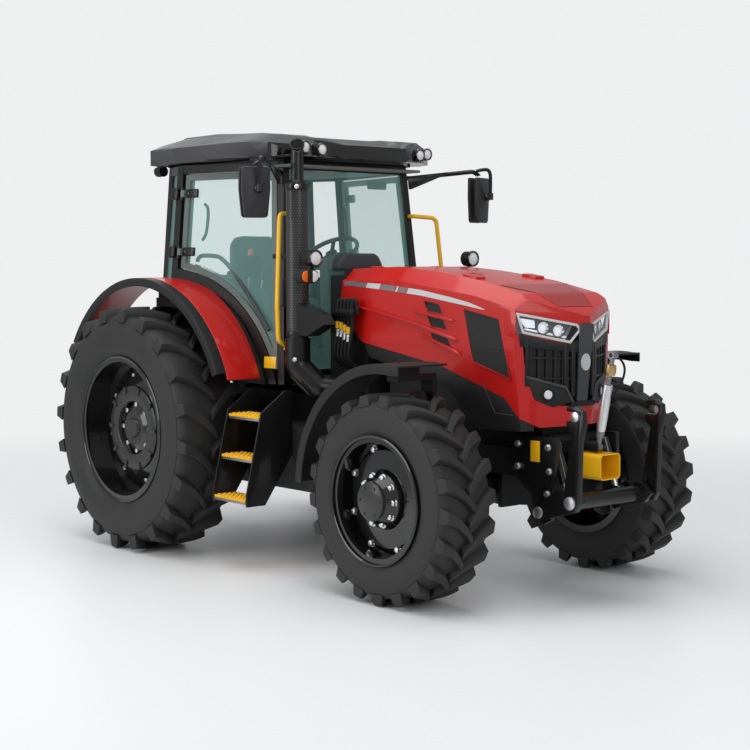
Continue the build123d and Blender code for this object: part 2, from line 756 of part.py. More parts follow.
with BuildPart() as windscreen:
    loft([screen_arc(floor_height + 50), screen_arc(ring_bottom - screen_gap)])
save(windscreen.part, "windscreen")

with BuildPart() as rear_window:
    side_plate([(cab_rear + 26, rear_sill + seat_gap), (cab_rear + 26 + glass_thickness, rear_sill + seat_gap),
                (cab_rear + 26 + glass_thickness, c_post_knee),
                (c_post_head_x + glass_thickness, ring_bottom - 1), (c_post_head_x, ring_bottom - 1),
                (cab_rear + 26, c_post_knee)], 0, c_post_head - 29)
    mirror(about=Plane.XZ)
save(rear_window.part, "rear_window")

quarter_rear = cab_rear + 60
with BuildPart() as quarter_windows:
    leaning_panel([(b_post_x - b_post_width / 2 - 3, 1800), (b_post_x - b_post_width / 2 - 3, ring_bottom - 1),
                   (quarter_rear + 40, ring_bottom - 1), (quarter_rear, c_post_knee), (quarter_rear, 1800)],
                  quarter_skin, 20, glass_thickness, above=arch_radius + seat_gap)
    mirror(about=Plane.XZ)
save(quarter_windows.part, "quarter_windows")

# ------------------------------------------------------------------ doors
door_rear = b_post_x + b_post_width / 2 + door_gap + 24
door_top = ring_bottom - door_gap
door_foot = floor_height + 60

def door_outline(inset):
    """The door in side view, drawn in by an inset from its edge; the fender's curve is cut apart."""
    return [(door_rear + inset, 1700), (door_rear + inset, door_top - inset),
            (a_post_x(door_top) - a_post_width - door_gap - inset, door_top - inset),
            (a_post_x(door_foot) - a_post_width - door_gap - inset, door_foot + inset),
            (700, door_foot + inset)]


with BuildPart() as door_frame:
    leaning_panel(door_outline(0), side_skin, 0, door_thickness, above=sill_radius)
    leaning_panel(door_outline(door_frame_width), side_skin, -5, door_thickness + 10, mode=Mode.SUBTRACT,
                  above=sill_radius + door_frame_width)
    for station in hinge_stations:
        hinge_piece(station, 0, hinge_barrel / 2 - 1, 1)
        hinge_round(station, hinge_pin_radius - 5 + running_clearance, -hinge_barrel, hinge_barrel,
                    mode=Mode.SUBTRACT)
save_pair(door_frame.part, "door_frame")

with BuildPart() as door_glass:
    leaning_panel(door_outline(door_frame_width + 0.3), side_skin, 12, glass_thickness,
                  above=sill_radius + door_frame_width + 0.3)
save_pair(door_glass.part, "door_glass")

# ------------------------------------------------------------------ inside the cab
seat_top = 1760
seat_half_width = 240

with BuildPart() as seat_base:
    box((-90, 420), (-210, 210), (floor_height, 1400))
    box((-40, 380), (-180, 180), (1400, 1620))
    box((-150, -110), (-170, 170), (1400, 2120))
    box((-112, -80), (-170, 170), (1400, 1500))
save(seat_base.part, "seat_base")

with BuildPart() as seat_cushions:
    box((-60, 470), (-seat_half_width, seat_half_width), (1620.3, seat_top))
    side_plate([(-109.7, 1790), (20, 1790), (-20, 2230), (-109.7, 2230)], -seat_half_width, seat_half_width)
save(seat_cushions.part, "seat_cushions")

with BuildPart() as side_console:
    box((-40, 640), (-560, -330), (floor_height, 1660))
    side_plate([(60, 1660), (640, 1660), (620, 1760), (560, 1840), (120, 1800)], 300, 430)
save(side_console.part, "side_console")

dash_front = 1090
wheel_centre = Vector(840, 0, 2080)
wheel_radius = 195
wheel_tilt = 32

with BuildPart() as dashboard:
    side_plate([(980, floor_height), (dash_front - 20, floor_height), (dash_front - 55, 1960),
                (1020, 2060), (940, 2010), (950, 1800)], -190, 190)
    column = Plane(origin=wheel_centre, z_dir=(math.sin(math.radians(-wheel_tilt)), 0,
                                               math.cos(math.radians(wheel_tilt))))
    with BuildSketch(column.offset(-330)) as column_section:
        Circle(38)
    extrude(column_section.sketch, amount=295)
save(dashboard.part, "dashboard")

with BuildPart() as steering_wheel:
    with BuildSketch(Plane(origin=wheel_centre + column.x_dir * wheel_radius, x_dir=column.x_dir,
                           z_dir=column.z_dir.cross(column.x_dir))) as rim_section:
        Circle(15)
    revolve(rim_section.sketch, axis=Axis(wheel_centre, column.z_dir))
    with BuildSketch(column.offset(-34)) as boss_section:
        Circle(42)
    extrude(boss_section.sketch, amount=40)
    for spoke_angle in (90, 210, 330):
        with BuildSketch(column.offset(-12)) as spoke_section:
            with Locations(Location((0, 0), spoke_angle)):
                with Locations((wheel_radius / 2, 0)):
                    Rectangle(wheel_radius, 26)
        extrude(spoke_section.sketch, amount=12)
save(steering_wheel.part, "steering_wheel")

# ------------------------------------------------------------------ hood
# the hood in side view: crown from the rear to the nose, nose downwards, lower edge back to the rear
hood_crown = [(hood_rear, 1972), (1884, 1988), (2331, 1954), (2682, 1902), (3016, 1830)]
hood_nose = [(3235, 1700), (3215, 1600), (3185, 1190), (3215, 1050)]
hood_under = [(3110, 1040), (2939, 1211), (2404, 1376), (1640, 1496), (1404, 1688)]
hood_plan = [(1300, 900), (3040, 900), (3040, hood_half_width), (3245, 0)]
# level sections of the hood: x, crown height, half width of the crown, half width of the side
hood_sections = [(1300, 1975, 300, 385), (2000, 1990, 305, 405), (2700, 1904, 315, hood_half_width),
                 (3040, 1832, 325, hood_half_width), (3300, 1690, 325, hood_half_width)]
shoulder_drop = 90
side_height = 100
waist_height = hood_sections[-1][1] - shoulder_drop - side_height
waist_taper = 45
hood_low = 900


def hood_form(inset, side_view):
    """The hood's form drawn in by an inset: lofted sections trimmed by a side view and by the plan."""
    sections = []
    for x, crown, crown_width, side_width_here in hood_sections:
        half = [(0, crown + 6 - inset), (crown_width, crown - inset),
                (side_width_here - inset, crown - shoulder_drop),
                (side_width_here - inset, waist_height),
                (side_width_here - inset - waist_taper, hood_low)]
        with BuildSketch(Plane(origin=(x, 0, 0), x_dir=(0, 1, 0), z_dir=(1, 0, 0))) as section:
            with BuildLine():
                Polyline(*half, *[(-y, z) for y, z in reversed(half[1:])], close=True)
            make_face()
        sections.append(section.sketch)
    form = loft(sections, ruled=True, mode=Mode.PRIVATE)
    with BuildSketch(Plane.XZ) as side_sketch:
        with BuildLine():
            Polyline(*side_view, close=True)
        make_face()
    form = form & extrude(side_sketch.sketch, amount=900, both=True, mode=Mode.PRIVATE)
    shift = [(x - inset if y <= hood_half_width else x, y) for x, y in hood_plan]
    with BuildSketch(Plane.XY.offset(hood_low)) as plan_sketch:
        with BuildLine():
            Polyline(*shift, *[(x, -y) for x, y in reversed(shift[:-1])], close=True)
        make_face()
    return form & extrude(plan_sketch.sketch, amount=1300, mode=Mode.PRIVATE)


def hood_shell_view(inset):
    """The side view of the hood's hollow: open below and behind."""
    crown = [(x, z - inset) for x, z in hood_crown]
    nose = [(x - inset, z) for x, z in hood_nose]
    return [(1200, hood_crown[0][1] - inset)] + crown + nose + [(nose[-1][0], hood_low), (1200, hood_low)]


def nose_prism(outline, start, shrink=0):
    """Prisms along X on both sides of the nose, from a front-view outline (half width, height)."""
    with BuildSketch(Plane.YZ.offset(start)) as front_view:
        with BuildLine():
            Polyline(*outline, close=True)
        make_face()
        if shrink:
            offset(amount=-shrink, kind=Kind.INTERSECTION, mode=Mode.REPLACE)
    half = extrude(front_view.sketch, amount=900, mode=Mode.PRIVATE)
    return half + mirror(half, about=Plane.XZ, mode=Mode.PRIVATE)


def side_prism(outline):
    """A prism across the hood from a side-view outline."""
    with BuildSketch(Plane.XZ) as side_view:
        with BuildLine():
            Polyline(*outline, close=True)
        make_face()
    return extrude(side_view.sketch, amount=900, both=True, mode=Mode.PRIVATE)


hood_outer = hood_form(0, hood_crown + hood_nose + hood_under)
hood_hollow = hood_form(hood_wall, hood_shell_view(hood_wall))
grille_outline = [(0, 1600), (60, 1600), (110, 1515), (372, 1560), (360, 1420), (310, 1225), (150, 1165),
                  (0, 1165)]
grille_recess = 18
grille_sheet = 14
rib_pitch = 46
rib_depth = 14
screen_outline = [(2609, 1733), (2907, 1680), (3000, 1330), (2689, 1421)]
vent_rows = [(2252, 1775, 136), (2284, 1682, 143), (2314, 1578, 150)]
vent_height = 60
vent_slant = 34
lamp_outline = [(64, 1650), (128, 1545), (260, 1572), (425, 1600), (425, 1722), (300, 1700)]
lamp_rear = 2960
lamp_gap = 1

hood_blank = hood_outer - hood_hollow
nose_sheet = hood_form(grille_recess, hood_shell_view(grille_recess)) \
    - hood_form(grille_recess + grille_sheet, hood_shell_view(grille_recess + grille_sheet))
grille_zone = nose_prism(grille_outline, 2990)
lamp_zone = nose_prism(lamp_outline, lamp_rear)
vent_zones = [side_prism([(x, z), (x + length, z - vent_height * 0.3),
                          (x + length + vent_slant, z - vent_height * 1.3), (x + vent_slant, z - vent_height)])
              for x, z, length in vent_rows]
screen_zone = side_prism(screen_outline)

with BuildPart() as hood:
    add(hood_blank)
    for zone in (grille_zone, lamp_zone, screen_zone, *vent_zones):
        add(zone, mode=Mode.SUBTRACT)
    # hinge lugs under the crown with their pins
    for flank in (-1, 1):
        ear_face = ear_middle + ear_thickness / 2
        lug = sorted((flank * (ear_face + 2), flank * (ear_face + 14)))
        pin = sorted((flank * (ear_face - ear_thickness - 4), flank * (ear_face + 14)))
        box((hood_lift_x - 16, hood_lift_x + 16), lug, (hood_lift_z - 16, hood_crown[0][1] - hood_wall / 2))
        cross_rod(hood_lift_x, hood_lift_z, hinge_pin_radius, *pin)
save(hood.part, "hood")

with BuildPart() as grille:
    add(nose_sheet & grille_zone)
    rib_field = hood_form(2, hood_shell_view(2)) \
        - hood_form(grille_recess + 1, hood_shell_view(grille_recess + 1))
    with BuildSketch(Plane.YZ.offset(2990)) as rib_view:
        with GridLocations(rib_pitch, 1, 15, 1):
            with Locations((0, 1380)):
                Rectangle(rib_depth, 520)
    add(rib_field & grille_zone & extrude(rib_view.sketch, amount=400, mode=Mode.PRIVATE))
save(grille.part, "grille")

with BuildPart() as headlamps:
    add((hood_form(3, hood_shell_view(3)) - hood_form(50, hood_shell_view(50)))
        & nose_prism(lamp_outline, lamp_rear + 1, lamp_gap))
save(headlamps.part, "headlamps")

with BuildPart() as hood_screens:
    for zone in (screen_zone, *vent_zones):
        add((hood_form(4, hood_shell_view(4)) - hood_form(10, hood_shell_view(10))) & zone)
save(hood_screens.part, "hood_screens")

panel_gap = 1
panel_view = [(1660, 1492 - panel_gap), (2404, 1376 - panel_gap), (2939, 1211 - panel_gap), (3105, 1042),
              (3100, 1020), (2700, 1010), (2430, 1250), (1700, 1400)]

panel_inset = 3
wide_view = [(1250, 905), (3290, 905), (3290, 1650), (1250, 1650)]

with BuildPart() as side_panels:
    for flank in (1, -1):
        limits = sorted((flank * 300, flank * 500))
        add((hood_form(panel_inset, panel_view) - hood_form(panel_inset + hood_wall, wide_view))
            & Pos(2400, sum(limits) / 2, 1250) * Box(2000, limits[1] - limits[0], 900, mode=Mode.PRIVATE))
save(side_panels.part, "side_panels")

# ------------------------------------------------------------------ cowl between cab and hood
cowl_rear = 1200
cowl_front = hood_rear - 12
cowl_half_width = 300
cowl_top = 1930

with BuildPart() as cowl:
    side_plate([(cowl_rear, housing_top), (cowl_front + 160, housing_top), (cowl_front + 160, 1500),
                (cowl_front - 40, 1680), (cowl_front, 1700), (cowl_front, cowl_top - 80),
                (cowl_front - 95, cowl_top), (cowl_rear, cowl_top)], 0, cowl_half_width)
    mirror(about=Plane.XZ)
    # hinge ears inside the hood's rear edge
    for ear_y in (-ear_middle, ear_middle):
        side_plate([(cowl_front - 30, hood_lift_z - 120), (cowl_front, hood_lift_z - 120),
                    (hood_lift_x + 18, hood_lift_z - 30), (hood_lift_x + 18, hood_lift_z + 14),
                    (hood_lift_x - 15, hood_lift_z + 14), (cowl_front - 30, hood_lift_z - 32)],
                   ear_y - ear_thickness / 2, ear_y + ear_thickness / 2)
    cross_rod(hood_lift_x, hood_lift_z, hinge_pin_radius + running_clearance, -cowl_half_width,
              cowl_half_width, mode=Mode.SUBTRACT)
save(cowl.part, "cowl")

# ------------------------------------------------------------------ exhaust and intake
stack_x = 1277
stack_y = -645
shield_radius = 72
shield_bottom = 1517
shield_top = 2528
pipe_radius = 43
pipe_top = 2835
elbow_radius = 85
# the mouth is cut at a slant that faces forwards and to the right
mouth_middle = 2785
mouth_facing = (0.594, -0.466, 0.656)
# side view of the air scoop ahead of the shield
scoop_side = [(1300, 1745), (1345, 1750), (1555, 1680), (1615, 1615), (1440, 1535), (1300, 1545)]
scoop_half_width = 52

with BuildPart() as exhaust_stack:
    upright(stack_x, stack_y, shield_radius, shield_bottom, shield_top)
    upright(stack_x, stack_y, pipe_radius, shield_top, pipe_top)
    upright(stack_x, stack_y, pipe_radius - 4, shield_top + 40, pipe_top, mode=Mode.SUBTRACT)
    with Locations(Plane(origin=(stack_x, stack_y, mouth_middle), z_dir=mouth_facing).offset(150).location):
        Box(400, 400, 300, mode=Mode.SUBTRACT)
    side_plate(scoop_side, -stack_y - scoop_half_width, -stack_y + scoop_half_width)
    pipe([(stack_x, stack_y, shield_bottom), (stack_x, stack_y, 1330), (1400, -560, 1190),
          (1470, -430, 1188), (1470, -cowl_half_width - running_clearance, 1188)], elbow_radius, [90, 60, 50])
    # bracket that ties the stack to the A post
    box((a_post_x(2050) - 20, stack_x), (stack_y - 30, stack_y + 10), (2040, 2070))
save(exhaust_stack.part, "exhaust_stack")

# ------------------------------------------------------------------ handrails and mirrors
rail_radius = 15
rail_high = 2345
rail_low = 1440

with BuildPart() as handrails:
    pipe([(a_post_x(rail_high) + 2, -555, rail_high), (a_post_x(rail_high) + 50, -560, rail_high),
          (1165, -706, rail_high - 12), (1205, -760, 1737), (1198, -745, rail_low + 60),
          (a_post_x(rail_low) + 50, -628, rail_low), (a_post_x(rail_low) + 2, -625, rail_low)],
         rail_radius, [25, 45, 60, 45, 25])
    mirror(about=Plane.XZ)
save(handrails.part, "handrails")

mirror_x = 1300
mirror_y = 1005
mirror_z = 2465
mirror_width = 195
mirror_height = 330
mirror_depth = 62
arm_radius = 16

with BuildPart() as mirrors:
    arm_root = (a_post_x(2620) - 24, side_width(a_post_x(2620) - 24, 2620) + 4)
    pipe([(arm_root[0], -arm_root[1], 2620), (arm_root[0], -arm_root[1] - 50, 2622),
          (mirror_x, -mirror_y + 60, 2668), (mirror_x, -mirror_y, 2640), (mirror_x, -mirror_y, mirror_z)],
         arm_radius, [40, 40, 25])
    with Locations(Location((mirror_x - 10, -mirror_y, mirror_z), (0, 0, -18))):
        Box(mirror_depth, mirror_width, mirror_height)
    fillet(mirrors.edges().filter_by(Axis.Z).group_by(SortBy.LENGTH)[-1], 14)
    # triangular web between the arm and the A post
    web_path = (Vector(arm_root[0], -arm_root[1], 0), Vector(mirror_x, -mirror_y + 60, 0))
    web_plane = Plane(origin=web_path[0], x_dir=web_path[1] - web_path[0],
                      z_dir=(web_path[1] - web_path[0]).cross(Vector(0, 0, 1)))
    with BuildSketch(web_plane) as web:
        with BuildLine():
            Polyline((12, 2632), (22, 2540), (40, 2540), (300, 2650), (300, 2662), close=True)
        make_face()
    extrude(web.sketch, amount=7, both=True)
    mirror(about=Plane.XZ)
save(mirrors.part, "mirrors")

# ------------------------------------------------------------------ work lamps
lamp_radius = 52
lamp_depth = 60
# (x, y, z, yaw) of each lamp's face on the right side
lamp_rows = [(1533, -707, 2041, -8)]

with BuildPart() as side_lamps:
    for lamp_x, lamp_y, lamp_z, lamp_yaw in lamp_rows:
        with Locations(Location((lamp_x - lamp_depth / 2, lamp_y, lamp_z), (0, 90, 0))):
            Cylinder(lamp_radius, lamp_depth)
        # stalk from the A post, with the turn signal under the lamp
        stalk_root = a_post_x(1900) + 2
        pipe([(stalk_root, -582, 1900), (stalk_root + 60, -582, 1900), (1240, -540, 1902), (1370, -545, 1906),
              (lamp_x - 60, lamp_y + 50, 1920), (lamp_x - 30, lamp_y, 1970), (lamp_x - 30, lamp_y, lamp_z)],
             14, [40, 60, 60, 40, 25])
        with Locations((lamp_x - 20, lamp_y - 45, 1925)):
            Box(70, 90, 60)
    mirror(about=Plane.XZ)
save(side_lamps.part, "side_lamps")

with BuildPart() as roof_lamps:
    for face_x, lamp_y, lamp_z, radius in roof_lamp_rows:
        roof_lamp(face_x, lamp_y, lamp_z, radius, Mode.ADD)
    # the rear pair: one lamp on the roof's rear end and one hanging under it
    for lamp_z in rear_lamp_heights:
        roof_lamp(roof_sections[0][0] - running_clearance, rear_lamp_y, lamp_z, rear_lamp_radius, Mode.ADD)
    box((roof_sections[0][0] - 40, roof_sections[0][0] - 20), (rear_lamp_y - 12, rear_lamp_y + 12),
        (rear_lamp_heights[1], rear_lamp_heights[0]))
    mirror(about=Plane.XZ)
save(roof_lamps.part, "roof_lamps")

# ------------------------------------------------------------------ steps and tanks
tank_rear = 985
tank_front = 1600
tank_outer = 735
tank_inner = housing_half_width + 35
tank_bottom = 520
tank_top = 940

with BuildPart() as side_tanks:
    side_plate([(tank_rear, tank_bottom + 60), (tank_rear + 60, tank_bottom), (tank_front - 80, tank_bottom),
                (tank_front, tank_bottom + 90), (tank_front, tank_top), (tank_rear, tank_top)],
               tank_inner, tank_outer)
    # hangers that carry the tank on the transmission
    for hanger_x in (1080, 1480):
        box((hanger_x, hanger_x + 60), (-tank_inner - 20, -housing_half_width), (700, 760))
    mirror(about=Plane.XZ)
save(side_tanks.part, "side_tanks")

step_rear = 965
step_front = 1320
step_depth = 170
tread_thickness = 30
stringer = 14
# (height of the tread's top, distance of its middle from the middle plane)
step_rise = 265
step_rows = [(floor_height - 225, 900), (floor_height - 225 - step_rise, 960),
             (floor_height - 225 - 2 * step_rise, 1020)]

with BuildPart() as steps:
    for step_top, step_y in step_rows:
        box((step_rear, step_front), (-step_y - step_depth / 2, -step_y + step_depth / 2),
            (step_top - tread_thickness, step_top))
    for edge in (step_rear - stringer, step_front):
        with BuildSketch(Plane.YZ.offset(edge)) as stringer_view:
            with BuildLine():
                Polyline((-tank_outer - seat_gap, 1180), (-tank_outer - seat_gap, 760),
                         (-step_rows[2][1] + 60, step_rows[2][0] - 45),
                         (-step_rows[2][1] - step_depth / 2 - 5, step_rows[2][0] - 45),
                         (-step_rows[2][1] - step_depth / 2 - 5, step_rows[2][0] + 30),
                         (-step_rows[0][1] - step_depth / 2 - 5, step_rows[0][0] + 30),
                         (-tank_outer - 60, 1180), close=True)
            make_face()
        extrude(stringer_view.sketch, amount=stringer)
    mirror(about=Plane.XZ)
save(steps.part, "steps")

# ------------------------------------------------------------------ hydraulic hoses behind the hood
hose_radius = 13
hose_count = 5

with BuildPart() as hoses:
    for index in range(hose_count):
        start_x = 1485 + index * 36
        pipe([(start_x, -470, 1660), (start_x, -470, 1570), (start_x - 22, -474, 1480),
              (start_x - 60, -452, 1395), (start_x - 72, -375, 1330),
              (start_x - 72, -cowl_half_width - seat_gap, 1330)],
             hose_radius, [65, 65, 60, 50])
save(hoses.part, "hydraulic_hoses")

with BuildPart() as coupler_rack:
    box((1448, 1462 + 36 * hose_count + 10), (-500, -440), (1660 + seat_gap, 1680))
    box((1448, 1462), (-500, -430), (1540, 1680))
    box((1448, 1462), (-500, -cowl_half_width - seat_gap), (1540, 1570))
    for index in range(hose_count):
        upright(1485 + index * 36, -470, 15, 1680, 1712)
save(coupler_rack.part, "coupler_rack")

# ------------------------------------------------------------------ front linkage
plate_outer = rail_outer + plate_thickness
arm_inner = plate_outer + 8
arm_outer = arm_inner + 34
hook_inner = arm_outer + 10
cylinder_y = 215
cylinder_head = Vector(3195, 0, 930)
cylinder_eye = Vector(3290, 0, 645)
barrel_radius = 32
rod_radius = 18
barrel_length = 222
cylinder_stroke = 92
tube_x = 3363
tube_z = 625
front_pto_z = 816
guard_front = 3425
guard_rear = 3235
guard_half_width = 88
guard_half_height = 76
guard_sheet = 6
top_link_x = 3328
top_link_z = 925
bracket_inner = 26
bracket_outer = 38


def boss(x, z, radius, near, far, mode=Mode.ADD):
    """A round boss on a plate."""
    cross_rod(x, z, radius, near, far, mode=mode)


with BuildPart() as front_linkage_frame:
    side_plate([(2900, 990), (3250, 990), (3255, 860), (3205, 640), (3215, 500), (3150, 470), (3085, 490),
                (3050, 640), (2900, 760)], rail_outer, plate_outer)
    boss(lift_pivot_x, lift_pivot_z, link_pin_radius + running_clearance, rail_outer - 1, plate_outer + 1,
         mode=Mode.SUBTRACT)
    mirror(about=Plane.XZ)
    # housing of the front power shaft and the bracket of the top link, on the cross plate
    box((frame_front, guard_rear), (-70, 70), (front_pto_z - 70, front_pto_z + 70))
    for flank in (1, -1):
        limits = sorted((flank * bracket_inner, flank * bracket_outer))
        box((frame_front, top_link_x + 26), limits, (top_link_z - 26, top_link_z + 30))
    box((frame_front, frame_front + 60), (-bracket_outer, bracket_outer), (front_pto_z + 60, top_link_z + 30))
    box((frame_front, frame_front + 12), (-rail_outer - 1, rail_outer + 1), (rail_top - 20, 980))
    long_rod(0, front_pto_z, pto_radius, guard_rear, guard_rear + 90)
    boss(top_link_x, top_link_z, 13, -bracket_outer, bracket_outer)
save(front_linkage_frame.part, "front_linkage_frame")

with BuildPart() as front_pto_guard:
    box((guard_rear + seat_gap, guard_front), (-guard_half_width, guard_half_width),
        (front_pto_z - guard_half_height, front_pto_z + guard_half_height))
    fillet(front_pto_guard.edges().filter_by(Axis.X), 26)
    with BuildSketch(Plane.YZ.offset(guard_rear + seat_gap + guard_sheet)) as mouth:
        with Locations((0, front_pto_z)):
            RectangleRounded(2 * (guard_half_width - guard_sheet), 2 * (guard_half_height - guard_sheet), 20)
    extrude(mouth.sketch, amount=400, mode=Mode.SUBTRACT)
    long_rod(0, front_pto_z, 40, guard_rear - 1, guard_rear + 20, mode=Mode.SUBTRACT)
save(front_pto_guard.part, "front_pto_guard")

with BuildPart() as front_lift_arms:
    side_plate([(lift_pivot_x - 45, lift_pivot_z), (lift_pivot_x, lift_pivot_z + 48),
                (cylinder_eye.X, cylinder_eye.Z + 50), (hook_pivot_x - 10, hook_pivot_z + 58),
                (hook_pivot_x + 55, hook_pivot_z), (hook_pivot_x, hook_pivot_z - 58),
                (lift_pivot_x, lift_pivot_z - 48)], arm_inner, arm_outer)
    boss(lift_pivot_x, lift_pivot_z, link_pin_radius, rail_outer, arm_inner + 1)
    boss(hook_pivot_x, hook_pivot_z, link_pin_radius, arm_outer - 1, hook_inner + hook_thickness + 6)
    cross_rod(tube_x, tube_z, 48, 0, arm_inner + 1)
    for lug in (cylinder_y - 31, cylinder_y + 20):
        side_plate([(cylinder_eye.X - 30, cylinder_eye.Z - 22), (cylinder_eye.X - 30, cylinder_eye.Z + 30),
                    (cylinder_eye.X + 20, cylinder_eye.Z + 30), (tube_x, tube_z + 30), (tube_x, tube_z - 30)],
                   lug, lug + 11)
    mirror(about=Plane.XZ)
save(front_lift_arms.part, "front_lift_arms")

cylinder_axis = (cylinder_eye - cylinder_head).normalized()
cylinder_plane = Plane(origin=cylinder_head + Vector(0, -cylinder_y, 0), x_dir=(0, 1, 0), z_dir=cylinder_axis)
cylinder_length = (cylinder_eye - cylinder_head).length


def along_cylinder(radius, start, end, mode=Mode.ADD):
    """A round piece along the lift cylinder between two distances from its head pin."""
    with BuildSketch(cylinder_plane.offset(start)) as section:
        Circle(radius)
    extrude(section.sketch, amount=end - start, mode=mode)


with BuildPart() as front_lift_cylinders:
    along_cylinder(barrel_radius, -24, barrel_length)
    cross_rod(cylinder_head.X, cylinder_head.Z, 20, cylinder_y, rail_outer - seat_gap)
    along_cylinder(rod_radius + running_clearance, barrel_length - cylinder_stroke - 30, barrel_length + 1,
                   mode=Mode.SUBTRACT)
    mirror(about=Plane.XZ)
save(front_lift_cylinders.part, "front_lift_cylinders")

with BuildPart() as front_lift_rods:
    along_cylinder(rod_radius, barrel_length - cylinder_stroke - 20, cylinder_length)
    cross_rod(cylinder_eye.X, cylinder_eye.Z, 24, cylinder_y - 14, cylinder_y + 14)
    mirror(about=Plane.XZ)
save(front_lift_rods.part, "front_lift_rods")

hook_throat = 28.5
hook_x = 3478
hook_z = hook_pivot_z + hook_height

with BuildPart() as front_hook_arms:
    side_plate([(hook_pivot_x - 52, hook_pivot_z - 20), (hook_pivot_x - 30, hook_pivot_z - 50),
                (hook_pivot_x + 35, hook_pivot_z - 46), (hook_pivot_x + 62, hook_pivot_z),
                (hook_front - 28, hook_z - 150), (hook_front, hook_z - 30), (hook_front - 8, hook_z + 35),
                (hook_x, hook_z + 62), (hook_x - 70, hook_z + 52), (hook_x - 72, hook_z - 60),
                (hook_x - 30, hook_z - 110), (hook_pivot_x - 40, hook_pivot_z + 120)],
               hook_inner, hook_inner + hook_thickness)
    boss(hook_x, hook_z, hook_throat, hook_inner - 1, hook_inner + hook_thickness + 1, mode=Mode.SUBTRACT)
    box((hook_x - 90, hook_x), (-hook_inner - hook_thickness - 1, -hook_inner + 1),
        (hook_z - hook_throat, hook_z + hook_throat), mode=Mode.SUBTRACT)
    boss(hook_pivot_x, hook_pivot_z, link_pin_radius + running_clearance, hook_inner - 1,
         hook_inner + hook_thickness + 1, mode=Mode.SUBTRACT)
    mirror(about=Plane.XZ)
save(front_hook_arms.part, "front_hook_arms")

top_link_lean = 11.1
top_link_bore = 12.9
top_link_length = 560
top_link_plane = Plane(origin=(top_link_x, 0, top_link_z), x_dir=(0, 1, 0),
                       z_dir=(math.sin(math.radians(top_link_lean)), 0,
                              math.cos(math.radians(top_link_lean))))

with BuildPart() as front_top_link:
    for radius, start, end in ((16, 10, 150), (25, 60, 330), (14, 330, top_link_length - 20)):
        with BuildSketch(top_link_plane.offset(start)) as section:
            Circle(radius)
        extrude(section.sketch, amount=end - start)
    for distance, eye_radius in ((0, 24), (top_link_length, 26)):
        eye = top_link_plane.origin + top_link_plane.z_dir * distance
        cross_rod(eye.X, eye.Z, eye_radius, -20, 20)
    cross_rod(top_link_x, top_link_z, 13 + running_clearance, -21, 21, mode=Mode.SUBTRACT)
    cross_rod(eye.X, eye.Z, top_link_bore, -21, 21, mode=Mode.SUBTRACT)
save(front_top_link.part, "front_top_link")

# ------------------------------------------------------------------ rear linkage and drawbar
lift_length = 430
lift_inner = 290
lift_thickness = 30
rod_inner = lift_inner + lift_thickness + 8
rod_thickness = 26
lift_tip_x = rocker_x - lift_length
rod_foot_x = link_pivot_x - lift_length
rod_eye_radius = 28
rod_pin_radius = 14

with BuildPart() as rear_lower_links:
    near, far = link_half_spread - link_thickness / 2, link_half_spread + link_thickness / 2
    side_plate([(link_pivot_x, link_pivot_z - link_height / 2), (link_pivot_x, link_pivot_z + link_height / 2),
                (link_eye_x, link_pivot_z + link_height / 2), (link_eye_x, link_pivot_z - link_height / 2)],
               near, far)
    boss(link_pivot_x, link_pivot_z, link_eye_radius, near, far)
    boss(link_eye_x, link_pivot_z, link_eye_radius, near, far)
    boss(link_pivot_x, link_pivot_z, link_pin_radius + running_clearance, near - 1, far + 1,
         mode=Mode.SUBTRACT)
    boss(link_eye_x, link_pivot_z, link_bore_radius, near - 1, far + 1, mode=Mode.SUBTRACT)
    mirror(about=Plane.XZ)
save(rear_lower_links.part, "rear_lower_links")

with BuildPart() as rear_lift_arms:
    cross_rod(rocker_x, rocker_z, rocker_radius, 0, lift_inner + 1)
    side_plate([(rocker_x, rocker_z - 46), (rocker_x, rocker_z + 46), (lift_tip_x, rocker_z + 26),
                (lift_tip_x, rocker_z - 26)], lift_inner, lift_inner + lift_thickness)
    boss(rocker_x, rocker_z, 52, lift_inner, lift_inner + lift_thickness)
    boss(lift_tip_x, rocker_z, rod_eye_radius, lift_inner, lift_inner + lift_thickness)
    boss(lift_tip_x, rocker_z, rod_pin_radius, lift_inner, rod_inner + rod_thickness + 6)
    mirror(about=Plane.XZ)
save(rear_lift_arms.part, "rear_lift_arms")

with BuildPart() as rear_lift_rods:
    rod_middle = rod_inner + rod_thickness / 2
    pipe_ends = (Vector(lift_tip_x, -rod_middle, rocker_z), Vector(rod_foot_x, -rod_middle, link_pivot_z))
    rod_plane = Plane(origin=pipe_ends[0], x_dir=(0, 1, 0), z_dir=pipe_ends[1] - pipe_ends[0])
    with BuildSketch(rod_plane) as section:
        Circle(rod_thickness / 2 - 2)
    extrude(section.sketch, amount=(pipe_ends[1] - pipe_ends[0]).length)
    for eye in pipe_ends:
        boss(eye.X, eye.Z, rod_eye_radius, rod_inner, rod_inner + rod_thickness)
    boss(lift_tip_x, rocker_z, rod_pin_radius + running_clearance, rod_inner - 1,
         rod_inner + rod_thickness + 1, mode=Mode.SUBTRACT)
    boss(rod_foot_x, link_pivot_z, rod_pin_radius + running_clearance, rod_inner - 1,
         rod_inner + rod_thickness + 1, mode=Mode.SUBTRACT)
    mirror(about=Plane.XZ)
save(rear_lift_rods.part, "rear_lift_rods")

drawbar_half_width = 42
drawbar_bottom = 385
drawbar_thickness = 40
drawbar_pin_x = drawbar_end + 45

